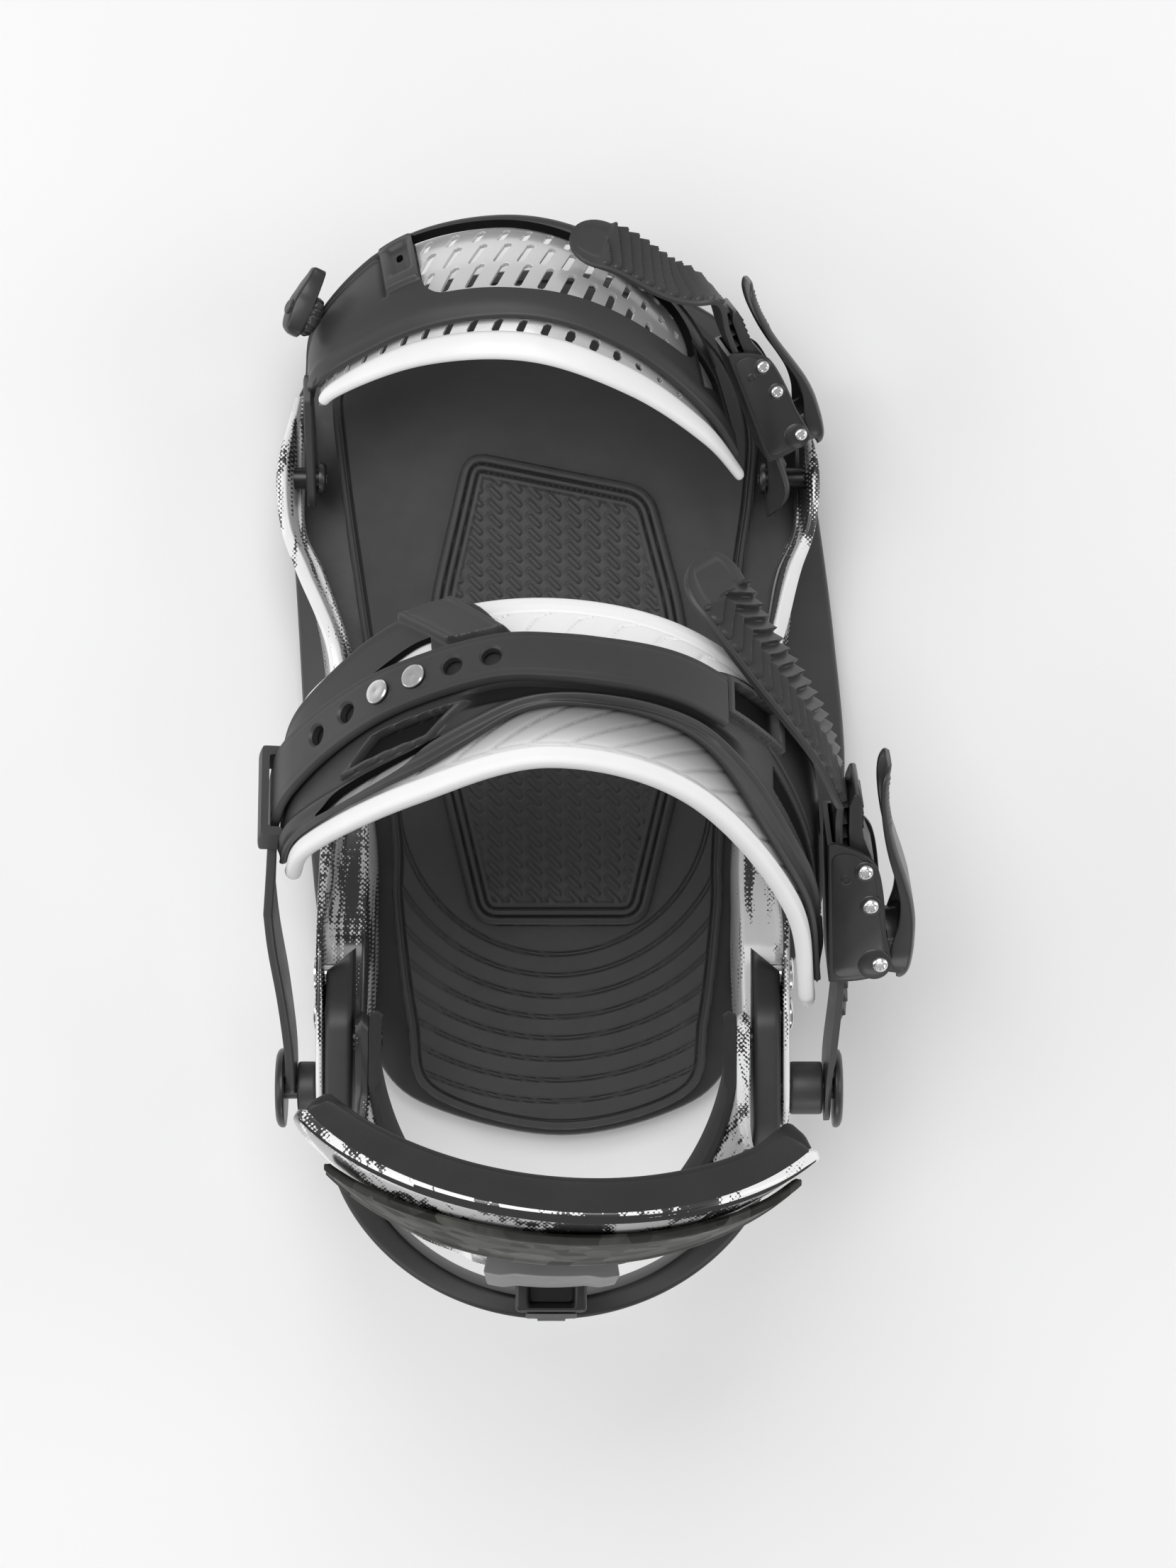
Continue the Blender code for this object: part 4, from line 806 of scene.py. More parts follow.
def make_grip_pad():
    """Raised pad: a double lip round a field of slanted pill-shaped bars."""
    outline = dense(rounded_corners(GRIP_PAD_CORNERS, 14), 0.4)
    low_y, high_y = outline[:, 1].min() + 0.02, outline[:, 1].max() - 0.02
    rows, cols = 400, 260
    ys = np.linspace(low_y, high_y, rows)
    closed = np.vstack([outline, outline[:1]])
    grid_x = np.empty((rows, cols))
    for i, y in enumerate(ys):
        a, b = closed[:-1], closed[1:]
        crossing = (a[:, 1] - y) * (b[:, 1] - y) <= 0
        spans = b[crossing, 1] - a[crossing, 1]
        share = np.where(spans == 0, 0.5, (y - a[crossing, 1]) / np.where(spans == 0, 1, spans))
        xs = a[crossing, 0] + (b[crossing, 0] - a[crossing, 0]) * share
        grid_x[i] = np.linspace(xs.min(), xs.max(), cols)
    grid_y = ys[:, None] * np.ones(cols)
    to_edge = far_from(np.dstack([grid_x, grid_y]), outline)
    # Pills: leaning down to the outer side, in columns staggered by half a row
    pitch_x, pitch_y, half_long, pill_r = 5.5, 3.9, 1.75, 0.62
    nearest = np.full(grid_x.shape, 9.0)
    lean = np.array((1.0, -1.0)) / math.sqrt(2)
    column = np.round(grid_x / pitch_x)
    for dc in (-1, 0, 1):
        cx = (column + dc) * pitch_x
        stagger = ((column + dc) % 2) * pitch_y / 2
        row = np.round((grid_y - stagger) / pitch_y)
        for dr in (-1, 0, 1):
            dx = grid_x - cx
            dy = grid_y - ((row + dr) * pitch_y + stagger)
            along = np.clip(dx * lean[0] + dy * lean[1], -half_long, half_long)
            nearest = np.minimum(nearest, np.hypot(dx - along * lean[0], dy - along * lean[1]) - pill_r)
    field = ease((to_edge - 6.4) / 0.6)
    pills = 0.34 * ease((0.12 - nearest) / 0.3) - 0.22 * line(nearest, 0.42, 0.5)
    z = GRIP_PAD_Z[1] - 0.2 - 0.45 * field + pills * field
    z -= 1.2 * line(to_edge, 2.7, 0.9) + 1.0 * line(to_edge, 4.9, 0.9)
    z -= 1.5 * (1 - round_edge(to_edge / 1.7))
    high = np.dstack([grid_x, grid_y, z])
    low = np.dstack([grid_x, grid_y, np.full_like(z, GRIP_PAD_Z[0])])
    solid("grip_moulding", low, high, PAD_RUBBER, "grip_pad", angle=60)


def make_disc():
    frame["nodes"]["mounting_disc"].data.materials.clear()
    frame["nodes"]["mounting_disc"].data.materials.append(DISC_PLASTIC)
    for number in range(1, 5):
        low, high = (np.array(corner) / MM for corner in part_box(f"disc_screw_{number}"))
        x, y = ((low + high) / 2)[:2]
        profile = (
            (2.4, 0.4), (2.9, 0.9), (2.9, 4.5), (5.2, 4.5), (5.2, 6.9), (4.9, 7.5), (4.2, 7.95),
            (2.6, 8.05), (2.5, 7.6, 0.35), (2.2, 5.4, 0.3), (0.6, 5.0),
        )
        turned(f"insert_screw_{number}", profile, (x, y, 0), (0, 0, 1), STEEL, f"disc_screw_{number}")


# ---------------------------------------------------------------- heel hoop

HOOP_ARM_START_Y = -66.0
HOOP_BEND_Y = -112.0
HOOP_INNER_HALF = 54.0
HOOP_INNER_DEPTH = 43.2
HOOP_ARM_T, HOOP_BACK_T = 7.4, 5.6
HOOP_ARM_Z, HOOP_BACK_Z = 54.0, 88.0
HOOP_ARM_HALF_H, HOOP_BACK_HALF_H = 11.0, 13.0
HOOP_BOLTS_YZ = ((-73.0, 50.0), (-84.0, 47.0))
HOOP_ARC_SHARE = 0.56
HOOP_END_SLANT = 6.0


def hoop_station(t):
    """Inner point, outward direction, thickness, middle height and half height at t, 0 to 1."""
    side = -1 if t < 0.5 else 1
    from_end = min(t, 1 - t)
    arm_share = (1 - HOOP_ARC_SHARE) / 2
    if from_end < arm_share:
        run = from_end / arm_share
        y = HOOP_ARM_START_Y - (HOOP_ARM_START_Y - HOOP_BEND_Y) * run
        inner = np.array((side * HOOP_INNER_HALF, y, 0))
        out = np.array((side, 0.0, 0.0))
        rise = 0.0
        half_h = blend(6.5, HOOP_ARM_HALF_H, ease(run * 2.2))
    else:
        turn = math.pi / 2 * (from_end - arm_share) / (0.5 - arm_share)
        c, s = math.cos(turn), math.sin(turn)
        inner = np.array((side * HOOP_INNER_HALF * c, HOOP_BEND_Y - HOOP_INNER_DEPTH * s, 0))
        out = unit((side * HOOP_INNER_DEPTH * c, -HOOP_INNER_HALF * s, 0))
        rise = ease(turn / (math.pi / 2))
        half_h = blend(HOOP_ARM_HALF_H, HOOP_BACK_HALF_H, rise)
    thick = blend(HOOP_ARM_T, HOOP_BACK_T, rise)
    middle = blend(HOOP_ARM_Z, HOOP_BACK_Z, rise) - max(HOOP_ARM_HALF_H - half_h, 0)
    return inner, out, thick, middle, half_h


def make_hoop():
    rings = []
    for t in np.linspace(0, 1, 220):
        inner, out, thick, middle, half_h = hoop_station(t)
        swell = 0.35
        section = (
            (0, -half_h), (thick / 2, -half_h - swell), (thick, -half_h), (thick, half_h),
            (thick / 2, half_h + swell * 0.4), (0, half_h),
        )
        ring = rounded(section, 1.5, 4)
        slant = HOOP_END_SLANT * max(0.0, 1 - min(t, 1 - t) / 0.03)
        rings.append([inner + out * a + np.array((0, -slant * a / thick, middle + b)) for a, b in ring])
    loft("heel_hoop_band", rings, HOOP_METAL, "heel_hoop", angle=50)
    for side, name in ((-1, "left"), (1, "right")):
        for number, (y, z) in enumerate(HOOP_BOLTS_YZ, 1):
            profile = (
                (2.6, 55.2), (3.0, 55.8), (3.0, 64.4), (4.6, 64.4), (4.6, 64.9), (4.2, 65.3), (3.4, 65.5),
                (2.2, 65.5), (2.1, 65.2, 0.3), (1.7, 63.6, 0.25), (0.5, 63.4),
            )
            node = f"hoop_bolt_{name}_{number}"
            turned(f"hoop_screw_{name}_{number}", profile, (0, y, z), (side, 0, 0), STEEL, node)
        profile = (
            (2.6, 61.2), (3.0, 60.8), (3.0, 47.8), (4.6, 47.8), (4.6, 47.2), (4.1, 46.5), (3.0, 46.2),
            (2.2, 46.2), (2.1, 46.5, 0.3), (1.7, 48.0, 0.25), (0.5, 48.2),
        )
        at = (0, HIGHBACK_PIVOT[1], HIGHBACK_PIVOT[2])
        turned(f"highback_screw_{name}", profile, at, (side, 0, 0), BLACK_STEEL, f"highback_bolt_{name}")


# ---------------------------------------------------------------- highback

# Rows from the bottom edge to the top edge: half width, half angle in degrees, Y at the
# middle, depth of the curve, height at the middle, height at the side edge
HIGHBACK_ROWS = (
    (49.5, 90, -144.5, 60.5, 72, 50),
    (49.5, 90, -145.5, 61.5, 84, 66),
    (49.0, 82, -144.6, 40, 102, 86),
    (49.8, 73, -142.4, 29, 122, 108),
    (51.8, 66, -139, 25, 147, 134),
    (55.0, 61, -133, 22.5, 173, 160),
    (58.5, 57, -127, 20.5, 199, 184),
    (60.5, 54, -120.5, 18, 221, 200),
    (58.5, 51, -118, 15.5, 229, 206),
)
HIGHBACK_SHELL_T = 3.2
HIGHBACK_TWIST = -0.08
# Right window beside the spine, as X and Z
HIGHBACK_WINDOW = ((19.5, 118), (25, 116), (36.5, 146), (37, 161), (19.5, 164))


def highback_surface(u, v):
    """Boot side of the highback: u from left to right, v from the bottom edge to the top."""
    half, angle, back, depth, high, side_high = np.moveaxis(spline(HIGHBACK_ROWS, v), -1, 0)
    along = 2 * u - 1
    angle = np.radians(angle)
    x = half * np.sin(angle * along) / np.sin(angle)
    y = back + depth * (1 - np.cos(angle * along)) / (1 - np.cos(angle))
    z = high + (side_high - high) * np.abs(along) ** 2.4
    lift = ease((v - 0.35) / 0.65)
    return np.stack([x + 2.5 * lift, y + HIGHBACK_TWIST * x * lift, z], axis=-1)


def make_highback():
    u, v, _ = grid((0, 1), 0.0, 1.0, 150, 120)
    mirrored = np.abs(2 * u - 1)
    # Outer relief: ribs that run from the foot of the spine out to the cross band
    ribs = 0.0 * u
    for spread in (0.36, 0.5, 0.64):
        path = 0.16 + (spread - 0.16) * ease((v - 0.2) / 0.42)
        ribs += line(mirrored, path, 0.035) * inside(v, 0.26, 0.6, 0.06)
    border = ease(1 - np.minimum(np.minimum(u, 1 - u) * 20, (1 - v) * 24))
    outer = HIGHBACK_SHELL_T + 0.55 * ribs + 0.3 * border
    shell = sheet(
        "highback_shell_moulding", highback_surface, u, v, 0.0, outer, PRINTED, "highback_shell", rim=1.6,
    )
    cutters = []
    for side in (-1, 1):
        outline = rounded([(side * x, z) for x, z in HIGHBACK_WINDOW], 6.0, 5)
        cutters.append(loft_mesh([[(x, y, z) for x, z in outline] for y in (-175, -100)]))
    cut(shell, joined(*cutters))
    make_highback_pad()
    make_wing_linings()
    make_cross_band()
    make_spine()
    make_lean_block()


def make_wing_linings():
    """Dark lining inside each lower wing of the shell, hooked round its front edge."""
    for side, name in ((0, "left"), (1, "right")):
        along, v, _ = grid((0.0, 0.3), 0.05, 0.225, 60, 24)
        hook = 1.5 * ease((0.025 - along) / 0.025)
        u = along if side == 0 else 1 - along
        sheet(
            f"wing_lining_{name}", highback_surface, u, v, -2.3 - hook, -0.15, HIGHBACK_FOAM, (),
            rides="highback_pad", rim=1.1,
        )


def make_highback_pad():
    """Foam band round the top, with a sewn channel, hooked over the outer end of the shell."""
    u, v, t = grid((0.0, 1.0), 0.5, 1.0, 170, 80)
    roll = 3.4 * np.sin(np.pi * np.clip((t - 0.66) / 0.34, 0, 1)) ** 0.6
    hook = 0.8 * ease((u - 0.88) / 0.1) * ease((t - 0.6) / 0.1)
    seams = 1.6 * line(t, 0.66, 0.04) + 2.2 * line(t, 0.925, 0.02) + 0.9 * line(t, 0.3, 0.03)
    # The cover wraps round the shell's top and side edges
    side_wrap, top_wrap = 0.5 * ease((np.abs(2 * u - 1) - 0.94) / 0.06), ease((v - 0.955) / 0.02)
    wrap = np.maximum(side_wrap, top_wrap) * ease((v - 0.75) / 0.15)
    channel = 0.9 * line(np.abs(2 * u - 1), 0.33, 0.03) * (t < 0.6)
    face = -4.0 - roll - hook + seams + channel
    pad = sheet(
        "highback_cushion", highback_surface, u, v, face, 5.2 * wrap - 0.7, HIGHBACK_FOAM,
        "highback_pad", rim=2.6,
    )
    puff(pad, 1.0)


def make_cross_band():
    u, _, t = grid((0.085, 0.955), 0.0, 1.0, 150, 30)
    spread = 1 - 0.92 * np.abs((2 * u - 1.04) / 0.92) ** 2.6
    spread = np.maximum(spread, 0.08)
    v = 0.77 + 0.07 * spread * (2 * t - 1)
    back = HIGHBACK_SHELL_T + 0.7
    rim_bead = 0.5 * (line(t, 0.08, 0.1) + line(t, 0.92, 0.1))
    outer = back + 1.9 + rim_bead + 1.2 * spread * (1 - t)
    sheet("cross_band_moulding", highback_surface, u, v, back, outer, CARBON, "cross_band", rim=1.2)


def make_spine():
    """Rib up the middle, forked at its foot where the lean block slides."""
    low_v, slot_v, high_v = 0.235, 0.41, 0.6
    rows, cols = 70, 90
    s = np.linspace(-1, 1, rows)[:, None] * np.ones(cols)
    v = np.linspace(low_v, high_v, cols)[None, :] * np.ones((rows, 1))
    half = blend(0.104, 0.115, (v - low_v) / (high_v - low_v))
    u = 0.5 + half * s
    back = HIGHBACK_SHELL_T + 0.7
    flanks = 0.9 * ease((np.abs(s) - 0.5) / 0.3)
    notches = 0.5 * (np.abs(s) > 0.82) * line((v - low_v) * 90 % 2, 1.0, 0.9) * (v < slot_v)
    outer = back + 3.5 + flanks - notches
    keep_s = (s[:-1, :-1] + s[1:, 1:]) / 2
    keep_v = (v[:-1, :-1] + v[1:, 1:]) / 2
    keep = ~((np.abs(keep_s) < 0.79) & (keep_v < slot_v))
    sheet(
        "spine_moulding", highback_surface, u, v, back, outer, SPINE_GREY,
        "highback_spine", keep=keep, bevel=0.5,
    )


def box_rings(low, high, edge, steps=6):
    """Rings of a box whose upright edges and rims are rounded."""
    rings = []
    for k in range(steps + 1):
        a = math.pi / 2 * k / steps
        rings.append((edge * (1 - math.sin(a)), low[2] + edge * (1 - math.cos(a))))
    rings += [(inset, high[2] + low[2] - z) for inset, z in rings[::-1]]
    made = []
    for inset, z in rings:
        section = (
            (low[0] + inset, low[1] + inset), (high[0] - inset, low[1] + inset),
            (high[0] - inset, high[1] - inset), (low[0] + inset, high[1] - inset),
        )
        made.append([(x, y, z) for x, y in rounded(section, edge * 1.4, 4)])
    return made


def make_lean_block():
    low, high = (-9.2, -157.4, 101.5), (9.2, -148.6, 113.5)
    block = loft("lean_stop", box_rings(low, high, 1.1), BUCKLE_BLACK, "lean_block")

    def slab(z, back_half, back, front_half, front):
        return [(-back_half, back, z), (back_half, back, z), (front_half, front, z), (-front_half, front, z)]

    def rounded_slab(radius, count, z, *sides):
        return [(x, y, z) for x, y in rounded([point[:2] for point in slab(z, *sides)], radius, count)]

    # Half width, how much the opening is spread, and height of the pocket's sections
    pocket = ((5.4, -0.3, 105.2), (5.9, 0.0, 106.5), (5.9, 0.0, 112.9), (6.7, 0.7, 114.0))
    cut(block, loft_mesh([rounded_slab(1.0, 4, z, w, -155.8 - s, w, -150.4 + s) for w, s, z in pocket]))
    # Height, half width and back face of the lever's sections
    skin = (
        (103.2, 4.6, 159.1), (104.0, 6.0, 159.9), (105.6, 6.5, 159.7), (109, 6.6, 159.3),
        (112.4, 6.5, 159.0),
    )
    lever = loft_mesh([rounded_slab(0.7, 3, z, half, -back, half + 0.1, -157.8) for z, half, back in skin])
    ribs = [
        loft_mesh([slab(z + h, 3.6, -160.3, 3.6, -159.2) for h in (-0.3, 0.3)])
        for z in (104.2, 105.5, 106.8)
    ]
    piece("lean_flip", *joined(lever, *ribs), SPINE_GREY, "lean_lever")


def puff(obj, cap, pressure=4.0, last=20):
    """Lets air pressure round a foam piece out by at most cap mm, by cloth simulation."""
    rest = np.array([v.co for v in obj.data.vertices])
    mod = obj.modifiers.new("air", "CLOTH")
    mod.settings.use_pressure = True
    mod.settings.uniform_pressure_force = pressure
    mod.settings.tension_stiffness = 60
    mod.settings.compression_stiffness = 60
    mod.settings.effector_weights.gravity = 0.0
    mod.point_cache.frame_start = 1
    mod.point_cache.frame_end = last
    scene = bpy.context.scene
    for number in range(1, last + 1):
        scene.frame_set(number)
    moved = bpy.data.meshes.new_from_object(obj.evaluated_get(bpy.context.evaluated_depsgraph_get()))
    final = np.array([v.co for v in moved.vertices])
    bpy.data.meshes.remove(moved)
    obj.modifiers.remove(mod)
    scene.frame_set(1)
    shift = final - rest
    far = np.linalg.norm(shift, axis=1, keepdims=True)
    limit = cap * MM
    shift *= limit * np.tanh(far / limit) / np.maximum(far, 1e-9)
    obj.data.vertices.foreach_set("co", (rest + shift).ravel())
    obj.data.update()


# ---------------------------------------------------------------- ankle strap

# Edges of the boot side of the ankle strap, from the inner ankle to the outer ankle
ANKLE_HEEL_EDGE = (
    (-67, -48, 80), (-60, -39, 107), (-33, -27, 138), (0, -18, 147),
    (34, -27, 137), (60, -55, 101), (66.5, -84, 64),
)
ANKLE_TOE_EDGE = (
    (-67, -13, 80), (-59, 4, 98), (-31, 20.5, 113), (2, 24.5, 118),
    (35, 17, 113), (60, -3, 93), (66.5, -30, 64),
)
ANKLE_CROWN = 2.5


def ankle_surface(u, v):
    """Boot side of the ankle strap: u from the inner ankle, v from the heel edge."""
    heel, toe = spline(ANKLE_HEEL_EDGE, u), spline(ANKLE_TOE_EDGE, u)
    crown = ANKLE_CROWN * np.sin(np.pi * v) * np.sin(np.pi * u)
    return blend(heel, toe, v[..., None]) + np.array((0, 0.4, 0.9)) * crown[..., None]


def make_ankle_pad():
    """Foam under the ankle frame: thick white edges, grooves fanning over its heel side."""
    def heel_end(u):
        return 0.05 * ease((0.03 - u) / 0.03) + 0.05 * ease((u - 0.97) / 0.03)

    u, v, _ = grid((0, 1), heel_end, lambda u: 1 - heel_end(u), 330, 120)
    lean = u - 0.45 * (v - 0.12) + 0.25 * np.maximum(u - 0.6, 0)
    spacing = 0.047
    fan = line((lean + spacing / 2) % spacing - spacing / 2, 0, 0.008) * inside(v, 0.13, 0.5, 0.04)
    # Hook-shaped lines on the toe side, each bent at its toe end
    hook_u = u - 0.16 * (v - 0.84) - 0.5 * np.maximum(v - 0.87, 0)
    hooks = line((hook_u + 0.025) % 0.052 - 0.026, 0, 0.008) * inside(v, 0.77, 0.9, 0.02)
    hooks *= inside(u, 0.4, 0.8, 0.02)
    bead = 1.2 * inside(v, -0.1, 0.105, 0.02) + 0.7 * inside(v, 0.925, 1.2, 0.03)
    step = 0.9 * line(v, 0.122, 0.02) + 0.5 * line(v, 0.91, 0.02)
    outer = ANKLE_PAD_LAYER[1] - 0.35 + bead - step - 0.8 * fan - 1.0 * hooks
    pad = sheet("ankle_cushion", ankle_surface, u, v, 0.1, outer, ANKLE_FOAM, "ankle_pad", rim=2.2)
    puff(pad, 0.5)


FRAME_HEEL_V = (
    (0.0, 0.16), (0.025, 0.11), (0.12, 0.105), (0.28, 0.11), (0.36, 0.135), (0.42, 0.205), (0.455, 0.28),
    (0.5, 0.312), (0.59, 0.335), (0.66, 0.335), (0.7, 0.29), (0.75, 0.17), (0.8, 0.125), (1.0, 0.13),
)
FRAME_TOE_V = (
    (0.0, 0.8), (0.03, 0.87), (0.12, 0.89), (0.2, 0.93), (0.27, 0.985), (0.33, 1.0), (0.4, 0.985),
    (0.425, 0.84), (0.45, 0.70), (0.56, 0.675), (0.66, 0.72), (0.72, 0.84), (0.8, 0.87),
    (0.9, 0.9), (1.0, 0.88),
)
FRAME_RIDGE_V = (
    (0.0, 0.2), (0.2, 0.2), (0.34, 0.2), (0.42, 0.28), (0.46, 0.335), (0.5, 0.355), (0.6, 0.385),
    (0.67, 0.405), (0.74, 0.35), (0.8, 0.27), (1.0, 0.22),
)


# Slots through the frame, as (u, v, half width in mm) along each
FRAME_SLOTS = (
    ((0.2, 0.145, 0.3), (0.235, 0.16, 1.4), (0.28, 0.175, 1.7), (0.33, 0.205, 1.5), (0.375, 0.255, 0.3)),
    ((0.27, 0.735, 0.3), (0.3, 0.752, 1.3), (0.33, 0.768, 2.2), (0.352, 0.772, 2.4)),
)


def make_ankle_frame():
    """Stiff frame over the pad: the link strap's seat, a cross loop, a lower band and sunk panels."""
    u, v, t = grid(
        (0.015, 0.985), lambda u: curve(FRAME_HEEL_V, u), lambda u: curve(FRAME_TOE_V, u), 420, 130,
    )
    link_mid = link_v(u)
    seat = inside(v - link_mid, -0.165, 0.15, 0.02) * inside(u, -1, 0.696, 0.006)
    valley = inside(v - link_mid, -0.21, -0.12, 0.03) * inside(u, 0.4, 0.72, 0.04)
    edge = 1 - ease(np.minimum(t, 1 - t) * 16)
    ridge = line(v, curve(FRAME_RIDGE_V, u), 0.055)
    slant = u + 0.27 * (v - 0.84)
    loop = inside(slant, 0.347, 0.418, 0.008) * inside(v, 0.735, 1.1, 0.02)
    loop_rim = line(slant, 0.354, 0.012) + line(slant, 0.411, 0.012)
    # Pocket with a raised lip below the link strap, and the pocket beyond its outer end
    lean = u - 0.3 * (v - 0.34)
    pocket = inside(lean, 0.279, 0.375, 0.006) * inside(v, 0.28, 0.382, 0.012)
    lip = inside(lean, 0.268, 0.386, 0.006) * inside(v, 0.255, 0.406, 0.012) - pocket
    end_mid = 0.665 + 0.75 * (u - 0.7)
    end_pocket = inside(u, 0.707, 0.773, 0.004) * inside(v - end_mid, -0.075, 0.075, 0.009)
    end_lip = inside(u, 0.697, 0.785, 0.004) * inside(v - end_mid, -0.106, 0.106, 0.009) - end_pocket
    panel_mid = 0.46 - 1.25 * (u - 0.78)
    panel = inside(u, 0.775, 0.915, 0.005) * inside(v - panel_mid, -0.06, 0.06, 0.01)
    crease = line(v, panel_mid + 0.115, 0.018) * inside(u, 0.77, 0.95, 0.02)
    inner, base = ANKLE_FRAME_LAYER
    outer = base - 0.3 + 0.35 * edge * (1 - seat) + 1.3 * ridge * (1 - seat) * inside(u, 0.03, 0.97, 0.04)
    outer += (2.2 * loop + 0.6 * loop_rim * loop) + 1.6 * lip * (1 - seat) - 1.5 * pocket
    outer += 2.0 * end_lip - 1.5 * end_pocket - 1.5 * panel - 0.7 * crease - 1.0 * valley * (1 - ridge)
    outer = np.where((seat > 0.5) & (loop < 0.5), np.minimum(outer, base), outer)
    outer = np.maximum(outer, inner + 0.7)
    # The frame material paints shade where the frame is thin: pockets, valley, panel and crease
    body = sheet(
        "ankle_exoframe", ankle_surface, u, v, inner, outer, FRAME_BLACK, "ankle_frame", rim=0.9, full=3.0,
    )
    slots = [ribbon_cutter(ankle_surface, keys, inner - 1, base + 6) for keys in FRAME_SLOTS]
    cut(body, joined(*slots))


LINK_HALF_W = 8.5
LINK_ARCH_HALF_W = 6.8
LINK_HOLES_U = np.linspace(0.213, 0.431, 6)
LINK_ARM = (
    (-69.8, -104, 50), (-69.9, -92, 55), (-71.4, -76, 62.5), (-73.4, -61, 71), (-74.2, -48, 79.5),
)
LINK_ARCH_U = (0.05, 0.69)
KEEPER_U = (0.055, 0.095)


def link_v(u):
    """Middle line of the link strap on the ankle strap."""
    rise = blend(0.47, 0.57, ease(u / 0.3))
    return rise - 0.025 * ease((u - 0.43) / 0.08) + 0.04 * ease((u - 0.54) / 0.12)


def link_half(u):
    """Half of the link strap's width, which narrows from the arm to the arch."""
    return blend(LINK_HALF_W, LINK_ARCH_HALF_W, ease(u / 0.35))


def make_ankle_link():
    """The inner side's strap, from its pivot over the ankle strap, with six countersunk holes."""
    cols = 26
    s = np.linspace(-1, 1, cols)
    arm_t = np.linspace(0, 0.93, 60)
    at = spline(LINK_ARM, arm_t)
    along = unit(spline(LINK_ARM, arm_t + 0.02) - at)
    out = np.array((-1.0, 0, 0)) - along * (along @ np.array((-1.0, 0, 0)))[:, None]
    out = unit(out)
    wide = unit(np.cross(out, along))
    end_round = 0.9 * round_edge(arm_t / 0.1) + 0.1
    half = LINK_HALF_W * np.clip(end_round, 0.35, 1)
    arm = at[:, None] + wide[:, None] * half[:, None, None] * s[None, :, None]
    arm_out = np.repeat(out[:, None], cols, axis=1)
    u = np.linspace(*LINK_ARCH_U, 200)[:, None] * np.ones(cols)
    middle = link_v(u)
    span = np.linalg.norm(ankle_surface(u, middle + 0.3) - ankle_surface(u, middle - 0.3), axis=-1) / 0.6
    v = middle + link_half(u) / span * s
    arch, arch_out = surface_frame(ankle_surface, u, v)
    arch = arch + arch_out * ANKLE_LINK_LAYER[0]
    points = np.concatenate([arm, arch])
    normals = np.concatenate([arm_out, arch_out])
    edge = round_edge((1 - np.abs(s)) / 0.14)
    groove = 0.25 * line(np.abs(s), 0.78, 0.08)
    thick = (ANKLE_LINK_LAYER[1] - ANKLE_LINK_LAYER[0]) * blend(0.55, 1, edge) - groove
    low = points + normals * (0.35 * (1 - edge))[None, :, None]
    high = points + normals * thick[None, :, None]
    link = solid("ankle_link_strap", low, high, STRAP_BLACK, "ankle_link")
    cutters = []
    for hole_u in LINK_HOLES_U:
        place, normal = spot(ankle_surface, hole_u, link_v(hole_u))
        cutters.append(turned_mesh(((2.6, 5.0), (2.6, 8.6), (3.3, 9.35), (3.3, 11)), place, normal, 28))
    cutters.append(turned_mesh(((3.3, -78), (3.3, -66)), (0, *ANKLE_PIVOT[1:]), (1, 0, 0), 28))
    cut(link, joined(*cutters))
    for number, hole_u in enumerate(LINK_HOLES_U[2:4], 1):
        place, normal = spot(ankle_surface, hole_u, link_v(hole_u))
        profile = ((2.2, 6.5), (2.3, 9.7), (3.3, 9.75), (3.3, 10.2), (3.0, 10.5), (2.0, 10.6), (0.4, 10.45))
        turned(f"length_pin_{number}", profile, place, normal, STEEL, f"link_pin_{number}")


def make_keeper():
    """Bridge that holds the link strap down where it meets the ankle strap."""
    low = ANKLE_FRAME_LAYER[1] + 0.4
    under = ANKLE_LINK_LAYER[1] + 0.8
    top = under + 2.0
    inner = LINK_HALF_W + 1.0
    outer = inner + 2.2
    section = (
        (-outer, low), (-outer, top), (outer, top), (outer, low),
        (inner, low), (inner, under), (-inner, under), (-inner, low),
    )
    ring = rounded(section, 0.9, 4)
    rings = []
    for k in np.linspace(0, 1, 14):
        u = blend(*KEEPER_U, k)
        v = link_v(u)
        place, normal = spot(ankle_surface, u, v)
        beside = ankle_surface(np.array([u, u]), np.array([v - 0.1, v + 0.1]))
        wide = unit(beside[1] - beside[0])
        swell = 0.35 * math.sin(math.pi * k)
        rings.append([place + wide * a + normal * (b + (swell if b > under else 0)) for a, b in ring])
    loft("strap_keeper_loop", rings, STRAP_BLACK, "strap_keeper", angle=50)


def make_ankle_pivots():
    for side, name in ((-1, "inner"), (1, "outer")):
        at = (0, *ANKLE_PIVOT[1:])
        end = 69.4 if side < 0 else 73.2
        section = rounded(((7.2, 64.4), (7.2, end), (3.5, end), (3.5, 64.4)), 0.8, 3)
        verts, faces = ring_of(section, at, (side, 0, 0), 48)
        piece(f"spacer_{name}", verts, faces, STRAP_BLACK, f"pivot_spacer_{name}")
        cap = 72.8 if side < 0 else 76.1
        profile = (
            (3.0, 55.6), (3.0, cap), (10.4, cap), (10.8, cap + 0.4), (10.8, cap + 1.2), (10.3, cap + 1.9),
            (9.2, cap + 2.4), (8.2, cap + 2.5), (8.0, cap + 2.1), (7.2, cap + 2.1), (7.0, cap + 2.5),
            (4.4, cap + 2.5), (4.1, cap + 2.1), (2.9, cap + 1.9, 0.3), (2.5, cap + 0.7, 0.3),
            (0.6, cap + 0.6),
        )
        turned(f"pivot_cap_{name}", profile, at, (side, 0, 0), BUCKLE_BLACK, f"ankle_pivot_{name}", sides=60)


